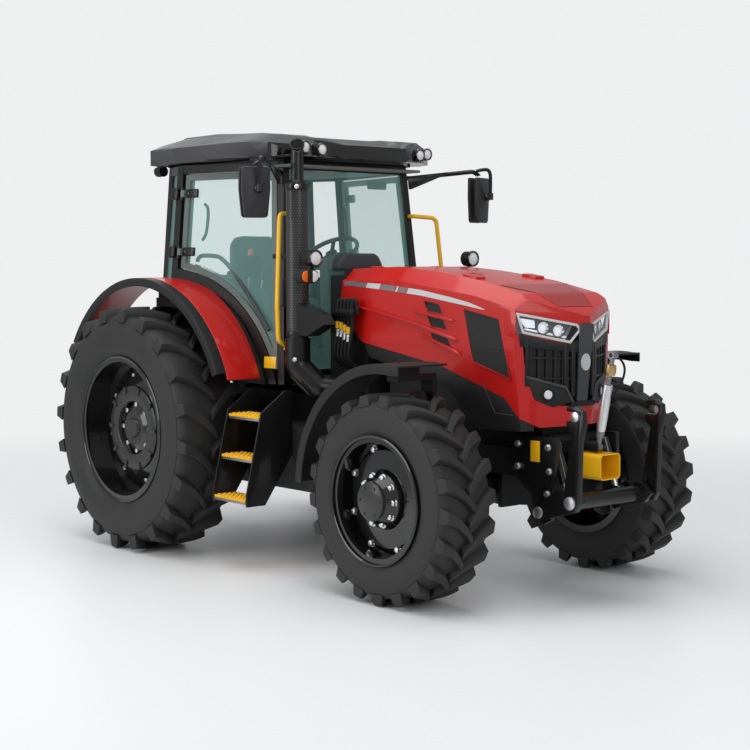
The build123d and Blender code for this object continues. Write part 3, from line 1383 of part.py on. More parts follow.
with BuildPart() as drawbar:
    box((drawbar_end, -60), (-drawbar_half_width, drawbar_half_width),
        (drawbar_bottom, drawbar_bottom + drawbar_thickness))
    for hanger_x in (housing_rear + 10, -140):
        box((hanger_x, hanger_x + 80), (-75, 75), (drawbar_bottom + drawbar_thickness, housing_bottom))
        box((hanger_x, hanger_x + 80), (-75, 75), (drawbar_bottom - 15, drawbar_bottom + drawbar_thickness + 5))
    upright(drawbar_pin_x, 0, drawbar_pin_radius, drawbar_bottom - 1,
            drawbar_bottom + drawbar_thickness + 1, mode=Mode.SUBTRACT)
save(drawbar.part, "drawbar")
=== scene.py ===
"""Farm tractor: the finish and the small parts of each piece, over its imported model.

Lengths are in metres.  Places along the tractor are given by spot(): the distance ahead of the
rear axle, the distance to the left of the middle and the height above the ground.
"""
import math

import bpy
from mathutils import Matrix, Vector


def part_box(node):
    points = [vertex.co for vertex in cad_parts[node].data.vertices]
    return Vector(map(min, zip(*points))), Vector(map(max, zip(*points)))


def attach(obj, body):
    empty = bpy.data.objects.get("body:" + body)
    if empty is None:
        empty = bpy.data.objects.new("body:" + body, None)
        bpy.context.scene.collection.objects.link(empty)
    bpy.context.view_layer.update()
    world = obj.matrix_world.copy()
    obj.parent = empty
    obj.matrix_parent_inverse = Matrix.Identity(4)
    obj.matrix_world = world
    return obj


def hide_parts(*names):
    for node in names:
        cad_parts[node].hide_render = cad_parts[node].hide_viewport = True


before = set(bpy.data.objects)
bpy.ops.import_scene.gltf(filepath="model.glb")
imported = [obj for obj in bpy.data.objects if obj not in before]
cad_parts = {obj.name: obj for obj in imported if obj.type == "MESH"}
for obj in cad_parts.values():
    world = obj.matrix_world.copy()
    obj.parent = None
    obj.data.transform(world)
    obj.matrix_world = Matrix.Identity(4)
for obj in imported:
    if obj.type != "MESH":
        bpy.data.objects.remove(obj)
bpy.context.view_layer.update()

bl_info = {
    "name": "Farm tractor",
    "version": (1, 0, 0),
    "blender": (4, 5, 0),
    "location": "3D View > Sidebar > Tractor",
    "description": "Finishes and detail for a farm tractor with a cab and two linkages",
    "category": "Object",
}

REAR_HUB = sum((Vector(corner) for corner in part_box("rear_rim_right")), Vector()) / 2
FRONT_HUB = sum((Vector(corner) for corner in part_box("front_rim_right")), Vector()) / 2
LEFT, RIGHT = 1, -1
SIDES = (("left", LEFT), ("right", RIGHT))


def spot(ahead, left, height):
    """A point by its distance ahead of the rear axle, to the left and above the ground."""
    return Vector((REAR_HUB.x + ahead, left, height))


STACK = spot(1.277, -0.645, 0)


# ------------------------------------------------------------------ sizes and colours for the user
def length(name, description, default):
    return bpy.props.FloatProperty(name=name, description=description, default=default, subtype="DISTANCE",
        unit="LENGTH")


def colour(name, description, default):
    return bpy.props.FloatVectorProperty(name=name, description=description, default=default, subtype="COLOR",
        size=3, min=0, max=1)


class PaintSettings(bpy.types.PropertyGroup):
    """Colours of the tractor's main finishes"""
    body: colour("Body paint", "Hood and fenders", (0.52, 0.0095, 0.007))
    black: colour("Black paint", "Frame, rims and linkage", (0.0065, 0.0065, 0.0065))
    plastic: colour("Moulded plastic", "Roof, flares and front fenders", (0.017, 0.017, 0.0172))
    rubber: colour("Tyre rubber", "Tread and sidewalls", (0.02, 0.02, 0.02))
    safety: colour("Safety yellow", "Steps, handrails and shaft guard", (0.92, 0.5, 0.01))
    glass: colour("Glass", "Cab glazing", (0.26, 0.44, 0.41))
    cloth: colour("Seat cloth", "Seat and backrest", (0.075, 0.078, 0.082))


class TyreSettings(bpy.types.PropertyGroup):
    """Numbers of the tyres' lugs"""
    rear_lugs: bpy.props.IntProperty(name="Rear lugs", description="Lugs on each side of a rear tyre",
        default=20, min=12, max=30)
    front_lugs: bpy.props.IntProperty(name="Front lugs", description="Lugs on each side of a front tyre",
        default=21, min=12, max=30)


class TrimSettings(bpy.types.PropertyGroup):
    """Sizes of the fasteners and small trim"""
    bolt_radius: length("Bolt radius", "Half the width of a wheel bolt's head", 0.016)
    edge_radius: length("Edge rounding", "Rounding of pressed panels", 0.014)


def settings(name):
    return getattr(bpy.context.scene, name)


# ------------------------------------------------------------------ modelling
def deselect():
    bpy.ops.object.select_all(action="DESELECT")


def activate(*pieces):
    deselect()
    for piece in pieces:
        piece.select_set(True)
    bpy.context.view_layer.objects.active = pieces[0]
    return pieces[0]


def duplicate(piece):
    """A copy of an object with its own mesh."""
    twin = piece.copy()
    twin.data = piece.data.copy()
    return link(twin)


def link(item):
    bpy.context.scene.collection.objects.link(item)
    return item


def put(piece, matrix):
    """Move a piece's mesh by a matrix."""
    piece.data.transform(matrix)
    return piece


def begin(kind, **sizes):
    """Add one primitive with nothing else selected."""
    deselect()
    getattr(bpy.ops.mesh, f"primitive_{kind}_add")(**sizes)
    piece = bpy.context.object
    settle(piece)
    return piece


def settle(piece):
    """Put an object's place into its mesh."""
    activate(piece)
    bpy.ops.object.transform_apply(location=True, rotation=True, scale=True)
    return piece


def edit(piece, *steps, whole=True):
    """Run edit-mode operators on the whole mesh or on what is selected; a step is (operator, settings)."""
    activate(piece)
    bpy.ops.object.mode_set(mode="EDIT")
    if whole:
        bpy.ops.mesh.select_all(action="SELECT")
    for operator, options in steps:
        operator(**options)
    bpy.ops.object.mode_set(mode="OBJECT")
    return piece


def outward(piece):
    return edit(piece, (bpy.ops.mesh.remove_doubles, {"threshold": 0.00002}),
        (bpy.ops.mesh.normals_make_consistent, {"inside": False}))


def modify(piece, kind, **options):
    activate(piece)
    modifier = piece.modifiers.new(kind.title(), kind)
    for option, value in options.items():
        setattr(modifier, option, value)
    bpy.ops.object.modifier_apply(modifier=modifier.name)
    return piece


def soften(piece, width, segments=2, angle=30):
    return modify(piece, "BEVEL", width=width, segments=segments, limit_method="ANGLE",
        angle_limit=math.radians(angle), use_clamp_overlap=True)


def outline(points, filled=True):
    """A primitive circle whose points are moved onto an outline."""
    piece = begin("circle", vertices=len(points), fill_type="NGON" if filled else "NOTHING")
    for vertex, point in zip(piece.data.vertices, points):
        vertex.co = point
    return piece


def plate(points, push, bevel=0, segments=2):
    """A flat outline pushed out to a plate, with its edges rounded."""
    piece = outline(points)
    edit(piece, (bpy.ops.mesh.extrude_region_move, {"TRANSFORM_OT_translate": {"value": tuple(push)}}))
    outward(piece)
    return soften(piece, bevel, segments) if bevel else piece


def turned(section, centre, axis, steps=64):
    """A closed section of (distance along the axis, radius) turned about an axis."""
    axis = Vector(axis).normalized()
    across = axis.orthogonal().normalized()
    piece = outline([Vector(centre) + axis * along + across * radius for along, radius in section], False)
    edit(piece, (bpy.ops.mesh.spin, {"steps": steps, "angle": math.tau, "center": tuple(centre),
        "axis": tuple(axis)}))
    return outward(piece)


def block(centre, size, bevel=0, segments=2, turn=None):
    """A box with rounded edges, turned about its centre if asked."""
    piece = begin("cube", size=1)
    for vertex in piece.data.vertices:
        vertex.co = Vector(part * full for part, full in zip(vertex.co, size))
    if bevel:
        soften(piece, bevel, segments)
    matrix = Matrix.Translation(Vector(centre))
    if turn:
        matrix = matrix @ Matrix.Rotation(math.radians(turn[1]), 4, turn[0])
    return put(piece, matrix)


def rod(start, end, radius, sides=16, tip=None, bevel=0):
    """A round bar between two points, narrowed to `tip` at its end."""
    start, end = Vector(start), Vector(end)
    piece = begin("cone", vertices=sides, radius1=radius, radius2=radius if tip is None else tip,
        depth=(end - start).length)
    if bevel:
        soften(piece, bevel)
    turn = (end - start).to_track_quat("Z", "Y").to_matrix().to_4x4()
    return put(piece, Matrix.Translation((start + end) / 2) @ turn)


def bent_bar(points, radius, bends=3, sides=12):
    """A round bar or hose along a smooth line through its corner points."""
    data = bpy.data.curves.new("line", "CURVE")
    data.dimensions = "3D"
    line = data.splines.new("NURBS")
    line.points.add(len(points) - 1)
    for corner, point in zip(line.points, points):
        corner.co = (*point, 1)
    line.order_u = bends
    line.use_endpoint_u = True
    line.resolution_u = 8
    data.bevel_depth = radius
    data.bevel_resolution = sides // 4
    data.use_fill_caps = True
    activate(link(bpy.data.objects.new("bar", data)))
    bpy.ops.object.convert(target="MESH")
    return outward(bpy.context.object)


def copies(piece, places):
    """Copies of a piece by matrices, each with its own mesh, joined into one object."""
    made = [put(duplicate(piece), place) for place in places]
    bpy.data.objects.remove(piece)
    return join(*made)


def join(*pieces):
    if len(pieces) > 1:
        activate(*pieces)
        bpy.ops.object.join()
    return pieces[0]


def mirrored(piece):
    """The piece joined with its mirror image across the middle plane."""
    twin = put(duplicate(piece), Matrix.Scale(-1, 4, (0, 1, 0)))
    edit(twin, (bpy.ops.mesh.flip_normals, {}))
    return join(piece, twin)


def round_places(count, centre, axis, radius, start=0):
    """Matrices that put a part made at the origin, pointing along +Z, on a circle about an axis."""
    axis = Vector(axis).normalized()
    stand = axis.to_track_quat("Z", "Y").to_matrix().to_4x4()
    first = Matrix.Translation(Vector((radius, 0, 0)))
    return [Matrix.Translation(Vector(centre)) @ stand @ Matrix.Rotation(start + math.tau * index / count, 4,
        "Z") @ first for index in range(count)]


def pointing(place, axis):
    return Matrix.Translation(Vector(place)) @ Vector(axis).to_track_quat("Z", "Y").to_matrix().to_4x4()


def bolt(radius, height):
    """A hexagon head on its washer, standing on the origin and pointing along +Z."""
    washer = rod((0, 0, -0.001), (0, 0, height * 0.3), radius * 1.3, sides=16)
    head = rod((0, 0, height * 0.2), (0, 0, height), radius, sides=6, bevel=radius * 0.12)
    return join(head, washer)


def dress(piece, name, body, finish, slot, smooth=35, replaces=()):
    """Name a finished piece, give it its finish and let it ride on a body."""
    settle(piece)
    piece.name = name
    piece.data.name = name
    give_finish(piece, finish, smooth)
    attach(piece, body)
    if replaces:
        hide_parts(*replaces)
    return piece


def give_finish(piece, finish, smooth):
    piece.data.materials.clear()
    piece.data.materials.append(bpy.data.materials[FINISH + finish])
    if smooth:
        activate(piece)
        bpy.ops.object.shade_smooth_by_angle(angle=math.radians(smooth))


def fit(name, finish, *pieces, body="chassis", slot=None, **options):
    """Join pieces and dress them as one."""
    return dress(join(*pieces), name, body, finish, slot or SLOTS[finish], **options)


def fit_pair(name, finish, *pieces, **options):
    """Fit pieces made on the right side together with their mirror images."""
    return fit(name, finish, mirrored(join(*pieces)), **options)


def on_hood(name, finish, *pieces, both=True, **options):
    """Fit pieces to the hood, which lifts with all that is on it."""
    return (fit_pair if both else fit)(name, finish, *pieces, body="hood_lid", **options)


def panel_copy(node, merge=1.2):
    """A copy of a packed panel with its triangles merged into flat faces."""
    piece = link(bpy.data.objects.new(node + "_panel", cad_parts[node].data.copy()))
    return edit(piece, (bpy.ops.mesh.remove_doubles, {"threshold": 0.00005}),
        (bpy.ops.mesh.dissolve_limited, {"angle_limit": math.radians(merge)}))


# ------------------------------------------------------------------ finishes
FINISH = "finish_"
SLOTS = {finish: slot for slot, finishes in {
    "red_paint": "red_paint red_inset stripe_grey white_paint",
    "black_paint": "black_paint rim_black hub_grey perforated_black soot",
    "dark_plastic": "dark_plastic roof_grey grille_black cab_grey grip_rubber screen_ribbon orange_knob "
                    "visor_black mirror_shell lining",
    "bright_steel": "bright_steel brass worn_steel reflector mirror_face",
    "lamp_lens": "lamp_lens amber_lens tail_lens lamp_glow",
    "yellow_paint": "yellow_paint", "tyre_rubber": "tyre_rubber", "seat_cloth": "seat_cloth",
}.items() for finish in finishes.split()}


class Value:
    """A shader socket that takes part in arithmetic; each operation adds its Math node."""

    def __init__(self, tree, socket):
        self.tree = tree
        self.socket = socket

    def math(self, operation, *others, clamp=False):
        return calculate(self.tree, operation, (self, *others), clamp)

    def __add__(self, other):
        return self.math("ADD", other)

    def __sub__(self, other):
        return self.math("SUBTRACT", other)

    def __mul__(self, other):
        return self.math("MULTIPLY", other)

    def __truediv__(self, other):
        return self.math("DIVIDE", other)

    def __rsub__(self, other):
        return calculate(self.tree, "SUBTRACT", (other, self))

    def __lt__(self, other):
        return self.math("LESS_THAN", other)

    def __abs__(self):
        return self.math("ABSOLUTE")

    __radd__ = __add__
    __rmul__ = __mul__

    def ramp(self, low, high):
        """0 at low, 1 at high, straight between."""
        return ((self - low) / (high - low)).math("ADD", 0, clamp=True)


def calculate(tree, operation, values, clamp=False):
    node = tree.nodes.new("ShaderNodeMath")
    node.operation = operation
    node.use_clamp = clamp
    for socket, value in zip(node.inputs, values):
        plug(tree, value, socket)
    return Value(tree, node.outputs[0])


def plug(tree, value, socket):
    if isinstance(value, Value):
        tree.links.new(value.socket, socket)
    else:
        socket.default_value = value


class Finish:
    """A material in the making: its shader, and one method for any other node."""

    def __init__(self, name, base, roughness, **constants):
        self.material = bpy.data.materials.new(FINISH + name)
        self.material.use_nodes = True
        self.tree = self.material.node_tree
        self.shader = self.tree.nodes["Principled BSDF"]
        self.base = (*base, 1)
        self.set("Base Color", self.base)
        self.set("Roughness", roughness)
        for socket, value in constants.items():
            self.set(socket.replace("_", " "), value)

    def set(self, socket, value):
        plug(self.tree, value, self.shader.inputs[socket])

    def node(self, kind, options=None, inputs=None, output=0):
        node = self.tree.nodes.new(kind)
        for option, value in (options or {}).items():
            setattr(node, option, value)
        for socket, value in (inputs or {}).items():
            plug(self.tree, value, node.inputs[socket])
        return Value(self.tree, node.outputs[output])

    def place(self):
        return self.node("ShaderNodeTexCoord", output="Object")

    def parts(self, vector):
        node = self.tree.nodes.new("ShaderNodeSeparateXYZ")
        plug(self.tree, vector, node.inputs[0])
        return [Value(self.tree, socket) for socket in node.outputs]

    def noise(self, scale, detail=3, vector=None):
        return self.node("ShaderNodeTexNoise", None, {"Vector": vector or self.place(), "Scale": scale,
            "Detail": detail}, "Fac")

    def mix(self, share, first, second):
        node = self.tree.nodes.new("ShaderNodeMix")
        node.data_type = "RGBA"
        plug(self.tree, share, node.inputs[0])
        plug(self.tree, first, node.inputs[6])
        plug(self.tree, second, node.inputs[7])
        return Value(self.tree, node.outputs[2])

    def bump(self, height, strength, distance=0.001):
        self.set("Normal", self.node("ShaderNodeBump", None,
            {"Height": height, "Strength": strength, "Distance": distance}, "Normal"))

    def spread(self, scale, darker, lighter):
        """Let the base colour drift between a darker and a lighter share of itself."""
        shade = [(*[part * share for part in self.base[:3]], 1) for share in (darker, lighter)]
        self.set("Base Color", self.mix(self.noise(scale), *shade))


def painted(name, base, roughness, coat, grain=900):
    """Sprayed paint: a clear coat, a faint orange peel and uneven gloss."""
    finish = Finish(name, base, roughness, Coat_Weight=coat, Coat_Roughness=0.06, Specular_IOR_Level=0.3)
    finish.spread(1.7, 0.94, 1.06)
    finish.set("Roughness", roughness + (finish.noise(9) - 0.5) * 0.1)
    finish.bump(finish.noise(grain, 1), 0.03, 0.0004)


def moulded(name, base, roughness, grain=420, strength=0.25):
    """Moulded plastic with a fine leather-like grain."""
    finish = Finish(name, base, roughness, Specular_IOR_Level=0.26)
    finish.spread(3, 0.86, 1.14)
    finish.set("Roughness", roughness + (finish.noise(14) - 0.5) * 0.16)
    cells = finish.node("ShaderNodeTexVoronoi", None, {"Vector": finish.place(), "Scale": grain}, "Distance")
    finish.bump(cells, strength, 0.0006)


def build_finishes():
    paint = settings("tractor_paint")
    # name, colour, roughness and strength of the clear coat
    for finish in (
            ("red_paint", paint.body, 0.34, 0.42), ("black_paint", paint.black, 0.32, 0.22),
            # painted shade: the body red at 0.62 of its brightness, a shaded copy of the paint for the vent
            # rims and the field ahead on the hood's top
            ("red_inset", [part * 0.62 for part in paint.body], 0.42, 0.35),
            ("rim_black", [part * 0.8 for part in paint.black], 0.22, 0.8),
            ("hub_grey", (0.03, 0.03, 0.029), 0.38, 0.25), ("yellow_paint", paint.safety, 0.36, 0.35),
            ("white_paint", (0.62, 0.63, 0.63), 0.3, 0.4), ("stripe_grey", (0.2, 0.2, 0.205), 0.28, 0.5),
            ("visor_black", (0.006, 0.006, 0.006), 0.2, 0.7),
            # partly painted reflection: the door frames get the glazing's real green tint and, painted in, the
            # lighter grey of its reflection
            ("door_frame_tint_and_painted_reflection", (0.115, 0.145, 0.135), 0.18, 0.6)):
        painted(*finish)
    # name, colour, roughness and, where they differ, the grain's scale and strength
    for finish in (
            ("dark_plastic", paint.plastic, 0.5), ("roof_grey", (0.055, 0.055, 0.058), 0.42),
            ("grille_black", (0.012, 0.012, 0.013), 0.42), ("cab_grey", (0.06, 0.062, 0.066), 0.58),
            ("grip_rubber", (0.012, 0.012, 0.012), 0.62), ("screen_ribbon", (0.05, 0.05, 0.053), 0.4),
            ("orange_knob", (0.75, 0.1, 0.01), 0.35, 300, 0.05), ("lining", (0.22, 0.235, 0.23), 0.7),
            # the exhaust bore's finish is near black: real soot with the shade deep in the pipe painted in
            ("mirror_shell", (0.032, 0.032, 0.034), 0.36, 500, 0.15), ("soot", (0.003, 0.003, 0.003), 0.9),
            ("amber_lens", (0.85, 0.16, 0.01), 0.12, 160, 0.1),
            ("tail_lens", (0.45, 0.008, 0.008), 0.14, 160, 0.1)):
        moulded(*finish)

    casting = Finish("cast_iron", (0.01, 0.01, 0.0105), 0.5, Specular_IOR_Level=0.25)
    casting.spread(6, 0.8, 1.2)
    casting.bump(casting.noise(150, 5), 0.35)

    rubber = Finish("tyre_rubber", paint.rubber, 0.62, Specular_IOR_Level=0.4)
    dust = rubber.noise(5, 6).ramp(0.48, 0.72)
    rubber.set("Base Color", rubber.mix(dust * 0.35, rubber.base, (0.052, 0.05, 0.047, 1)))
    rubber.set("Roughness", 0.56 + dust * 0.2)
    rubber.bump(rubber.noise(330, 4) + rubber.noise(40) * 0.6, 0.3)

    steel = Finish("bright_steel", (0.8, 0.8, 0.81), 0.28, Metallic=1)
    steel.set("Roughness", 0.28 + steel.noise(60) * 0.2)
    steel.bump(steel.noise(700, 2), 0.06, 0.0004)
    brass = Finish("brass", (0.55, 0.38, 0.16), 0.3, Metallic=1)
    brass.set("Roughness", 0.25 + brass.noise(60) * 0.2)
    worn = Finish("worn_steel", (0.3, 0.3, 0.31), 0.4, Metallic=1)
    worn.spread(25, 0.7, 1.2)
    worn.set("Roughness", 0.3 + worn.noise(45) * 0.3)
    reflector = Finish("reflector", (0.8, 0.81, 0.83), 0.12, Metallic=1)
    reflector.bump(reflector.noise(50), 0.08)
    mirror = Finish("mirror_face", (0.72, 0.74, 0.76), 0.03, Metallic=1)
    mirror.bump(mirror.noise(4), 0.01)

    # painted light: the glass glows a dim green, brighter face-on than at its edges, standing in for the lit
    # cab seen through it
    glass = Finish("tinted_glass", paint.glass, 0.03, IOR=1.45, Emission_Strength=1)
    edge = glass.node("ShaderNodeLayerWeight", None, {"Blend": 0.35}, "Fresnel")
    glass.set("Alpha", 0.065 + edge * 0.2)
    glass.set("Emission Color", glass.mix(edge, (0.1, 0.24, 0.215, 1), (0.08, 0.18, 0.165, 1)))
    glass.bump(glass.noise(3), 0.01)
    lens = Finish("lamp_lens", (0.86, 0.88, 0.9), 0.05, Coat_Weight=1)
    flutes = lens.node("ShaderNodeTexWave", {"bands_direction": "Y"}, {"Vector": lens.place(), "Scale": 36})
    lens.bump(flutes, 0.25)
    lens.set("Base Color", lens.mix(flutes * 0.5, (0.9, 0.91, 0.92, 1), (0.55, 0.57, 0.6, 1)))
    clear = Finish("clear_cover", (0.75, 0.79, 0.82), 0.04)
    clear.set("Alpha", 0.12 + clear.node("ShaderNodeLayerWeight", None, {"Blend": 0.3}, "Fresnel") * 0.5)
    glow = Finish("lamp_glow", (0.95, 0.96, 1), 0.15, Emission_Strength=0.35)
    glow.set("Emission Color", glow.mix(glow.noise(60), (0.95, 0.97, 1, 1), (0.8, 0.84, 0.9, 1)))

    cloth = Finish("seat_cloth", paint.cloth, 0.9, Sheen_Weight=0.3)
    weave = [cloth.node("ShaderNodeTexWave", {"bands_direction": way},
        {"Vector": cloth.place(), "Scale": 110, "Distortion": 0.6}) for way in ("Y", "DIAGONAL")]
    cloth.set("Base Color", cloth.mix(weave[0] * weave[1], (0.055, 0.057, 0.06, 1), (0.13, 0.135, 0.14, 1)))
    cloth.bump(weave[0] + weave[1], 0.5, 0.0008)

    perforated = Finish("perforated_black", (0.02, 0.02, 0.021), 0.45, Coat_Weight=0.2)
    x, y, z = perforated.parts(perforated.place())
    turn = (y - STACK.y).math("ARCTAN2", x - STACK.x) * 0.0745
    pitch = 0.0165
    row = (z / pitch).math("FLOOR")
    across = (turn / 0.0195 + row.math("MODULO", 2) * 0.5).math("FRACT") - 0.5
    along_row = (z / pitch).math("FRACT") - 0.5
    hole = (across * across + along_row * along_row).math("SQRT") < 0.33
    perforated.set("Base Color", perforated.mix(hole, (0.0035, 0.0035, 0.0035, 1), (0.065, 0.065, 0.066, 1)))
    perforated.set("Roughness", 0.42 + hole * 0.5)
    perforated.bump(1 - hole, 0.5)

    mesh = Finish("mesh_black", (0.01, 0.01, 0.01), 0.5)
    x, y, z = mesh.parts(mesh.place())
    wires = [abs(((x * slant + z + y * 0.35) / 0.009).math("FRACT") - 0.5) for slant in (0.6, -0.6)]
    wire = wires[0].math("MAXIMUM", wires[1]).ramp(0.3, 0.42)
    mesh.set("Base Color", mesh.mix(wire, (0.0012, 0.0012, 0.0012, 1), (0.026, 0.026, 0.027, 1)))
    mesh.set("Roughness", 0.9 - wire * 0.45)
    mesh.bump(wire, 0.6, 0.002)


NODE_SMOOTH_ANGLE = 28
NODE_FINISHES = {
    "rim_black": "rear_rim_left rear_rim_right front_rim_left front_rim_right front_lift_cylinders",
    "cast_iron": "transmission_housing front_frame engine_block front_axle_beam knuckle_left knuckle_right "
                 "rear_axle_housings drawbar",
    "dark_plastic": "front_fender_left front_fender_right fender_flares cab_body roof cowl mirrors side_tanks",
    "red_paint": "rear_fenders hood",
    "black_paint": "cab_frame side_panels exhaust_stack steps coupler_rack front_linkage_frame front_lift_arms "
                   "front_hook_arms rear_lower_links rear_lift_arms",
    "tinted_glass": "windscreen rear_window quarter_windows door_glass_left door_glass_right",
    # the door frames' grey-green is the glazing's tint with a painted reflection
    "door_frame_tint_and_painted_reflection": "door_frame_left door_frame_right",
    "cab_grey": "seat_base side_console dashboard",
    "grip_rubber": "steering_wheel side_lamps roof_lamps hydraulic_hoses",
    "yellow_paint": "handrails front_pto_guard",
    "worn_steel": "front_top_link rear_lift_rods",
    "seat_cloth": "seat_cushions", "grille_black": "grille", "clear_cover": "headlamps",
    "mesh_black": "hood_screens", "bright_steel": "front_lift_rods",
}


class TRACTOR_OT_finishes(bpy.types.Operator):
    """Make the tractor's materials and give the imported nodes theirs"""
    bl_idname = "tractor.finishes"
    bl_label = "Finishes"

    def execute(self, context):
        build_finishes()
        for finish, nodes in NODE_FINISHES.items():
            for node in nodes.split():
                give_finish(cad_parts[node], finish, NODE_SMOOTH_ANGLE)
        return {"FINISHED"}


# ------------------------------------------------------------------ stage
AREA_LAMPS = (("overhead", (0.5, -1.5, 8), 8, 400), ("front", (9, -3, 4.5), 4, 130),
              ("side", (-2, -8.5, 3.6), 5, 250), ("far", (-7, 2.5, 6.5), 5, 90))


def floor_finish():
    """A pale floor that fades out with the distance from the tractor."""
    finish = Finish("studio_floor", (0.9, 0.905, 0.91), 0.36, Specular_IOR_Level=0.3)
    x, y, z = finish.parts(finish.place())
    away = (x * x + y * y).math("SQRT")
    finish.set("Base Color", finish.mix(finish.noise(0.5), (0.895, 0.9, 0.905, 1), (0.915, 0.92, 0.925, 1)))
    clear = finish.node("ShaderNodeBsdfTransparent")
    surface = finish.node("ShaderNodeMixShader", None, {0: away.ramp(2.3, 8.5)})
    mixer = surface.socket.node
    for source, socket in ((finish.shader.outputs[0], mixer.inputs[1]), (clear.socket, mixer.inputs[2]),
            (surface.socket, finish.tree.nodes["Material Output"].inputs["Surface"])):
        finish.tree.links.new(source, socket)
    return finish.material


def light_world(scene):
    """A bright backdrop for the camera over a softer light for the tractor."""
    scene.world = scene.world or bpy.data.worlds.new("studio")
    scene.world.use_nodes = True
    tree = scene.world.node_tree
    tree.nodes.clear()
    path = tree.nodes.new("ShaderNodeLightPath")
    seen = Value(tree, path.outputs["Is Camera Ray"]) + Value(tree, path.outputs["Is Transmission Ray"])
    seen = seen.math("ADD", 0, clamp=True)
    shown, lit = (tree.nodes.new("ShaderNodeBackground") for _ in range(2))
    shown.inputs["Color"].default_value = (0.86, 0.865, 0.87, 1)
    lit.inputs["Color"].default_value = (0.95, 0.97, 1, 1)
    lit.inputs["Strength"].default_value = 0.46
    blend = tree.nodes.new("ShaderNodeMixShader")
    for source, socket in ((seen.socket, blend.inputs[0]), (lit.outputs[0], blend.inputs[1]),
            (shown.outputs[0], blend.inputs[2]),
            (blend.outputs[0], tree.nodes.new("ShaderNodeOutputWorld").inputs[0])):
        tree.links.new(source, socket)


class TRACTOR_OT_stage(bpy.types.Operator):
    """Place the floor, the soft lights and the camera"""
    bl_idname = "tractor.stage"
    bl_label = "Stage"

    def execute(self, context):
        floor = begin("circle", vertices=96, radius=26, fill_type="NGON")
        floor.name = "studio_floor"
        floor.data.materials.append(floor_finish())
        light_world(context.scene)
        for name, place, size, power in AREA_LAMPS:
            lamp = bpy.data.lights.new(name, "AREA")
            lamp.energy = power
            lamp.size = size
            light = link(bpy.data.objects.new(name, lamp))
            light.location = place
            light.rotation_euler = (Vector((0, 0, 1)) - light.location).to_track_quat("-Z", "Y").to_euler()
        camera = link(bpy.data.objects.new("camera", bpy.data.cameras.new("camera")))
        camera.data.lens = 75.3
        camera.data.sensor_width = 36
        right, up, ahead = (Vector(axis).normalized() for axis in ((0.6545, 0.7561, 0),
            (-0.05347, 0.04628, 0.9975), (-0.75417, 0.65286, -0.07072)))
        turn = Matrix((right, up, -ahead)).transposed().to_4x4()
        camera.matrix_world = Matrix.Translation((8.2192, -7.03605, 2.0059)) @ turn
        context.scene.camera = camera
        context.scene.view_settings.view_transform = "Standard"
        return {"FINISHED"}


# ------------------------------------------------------------------ tyres and wheels
# half sections from the bead to the crown: (distance from the middle plane, radius)
REAR_SECTION = [(0.207, 0.4838), (0.214, 0.518), (0.232, 0.536), (0.247, 0.565), (0.2565, 0.61), (0.26, 0.66),
                (0.257, 0.7), (0.2505, 0.728), (0.2475, 0.744), (0.241, 0.748), (0.236, 0.764), (0.224, 0.783),
                (0.196, 0.795), (0.14, 0.802), (0.07, 0.806)]
FRONT_SECTION = [(0.182, 0.3568), (0.188, 0.39), (0.198, 0.408), (0.2035, 0.43), (0.206, 0.462), (0.205, 0.5),
                 (0.201, 0.528), (0.1985, 0.546), (0.193, 0.551), (0.188, 0.56), (0.177, 0.573), (0.155, 0.58),
                 (0.11, 0.585), (0.055, 0.587)]


def carcass_radius(section, out):
    """The carcass's radius at a distance from the middle plane, outside the bead."""
    profile = sorted(section[5:])
    for (near, near_r), (far, far_r) in zip(profile, profile[1:]):
        if near <= out <= far:
            return near_r + (far_r - near_r) * (out - near) / (far - near)
    return profile[0][1] if out < profile[0][0] else profile[-1][1]


def lug_bar(hub, radius, section, swing, shoulder_radius):
    """One curved bar lug on the right shoulder, its inner end leading."""
    half = section[5][0]
    inner_end, inner_width, widening = -0.022, 0.04, 0.03
    lug = begin("cube", size=1)
    for item in (*lug.data.polygons, *lug.data.vertices):
        item.select = False
    for edge in lug.data.edges:
        ends = [lug.data.vertices[index].co for index in edge.vertices]
        edge.select = abs(ends[0].x - ends[1].x) > 0.5
    edit(lug, (bpy.ops.mesh.select_mode, {"type": "EDGE"}), (bpy.ops.mesh.subdivide, {"number_cuts": 9}),
        (bpy.ops.mesh.select_mode, {"type": "VERT"}), whole=False)
    for vertex in lug.data.vertices:
        share, side, high = vertex.co.x + 0.5, vertex.co.y, vertex.co.z > 0
        out = inner_end + (half - 0.006 - inner_end) * share
        width = inner_width + widening * share
        tilt = 0
        if high:
            out = min(out, half - 0.016)
            around = radius - 0.012 * max(0, (out / half - 0.6) / 0.4) ** 2
        else:
            out = min(out, half - 0.003)
            around = carcass_radius(section, max(out, 0)) - 0.004
            width = width * 1.55 + 0.006
            tilt = 0.004
            if share > 0.99:
                around, out = shoulder_radius, half - 0.008
        angle = swing * (1 - (1 - share) ** 1.7) + (side * width + tilt) / radius
        vertex.co = hub + Vector((math.cos(angle) * around, -out, math.sin(angle) * around))
    return soften(outward(lug), 0.0045, 2, 35)


def tyre_piece(hub, radius, section, lugs, swing, shoulder_radius):
    """A carcass with two rows of lugs, half a pitch apart."""
    loop = section + [(0, section[-1][1])] + [(-out, r) for out, r in reversed(section)]
    carcass = turned(loop, hub, (0, 1, 0), 120)
    lug = lug_bar(hub, radius, section, swing, shoulder_radius)
    half_pitch = Matrix.Rotation(math.pi / lugs, 4, "Y")
    twin = put(duplicate(lug), Matrix.Translation(hub) @ half_pitch @ Matrix.Scale(-1, 4, (0, 1, 0))
        @ Matrix.Translation(-hub))
    edit(twin, (bpy.ops.mesh.flip_normals, {}))
    pair = join(lug, twin)
    edit(pair, (bpy.ops.mesh.spin, {"steps": lugs - 1, "dupli": True, "angle": math.tau * (lugs - 1) / lugs,
        "center": tuple(hub), "axis": (0, 1, 0)}))
    return join(carcass, pair)


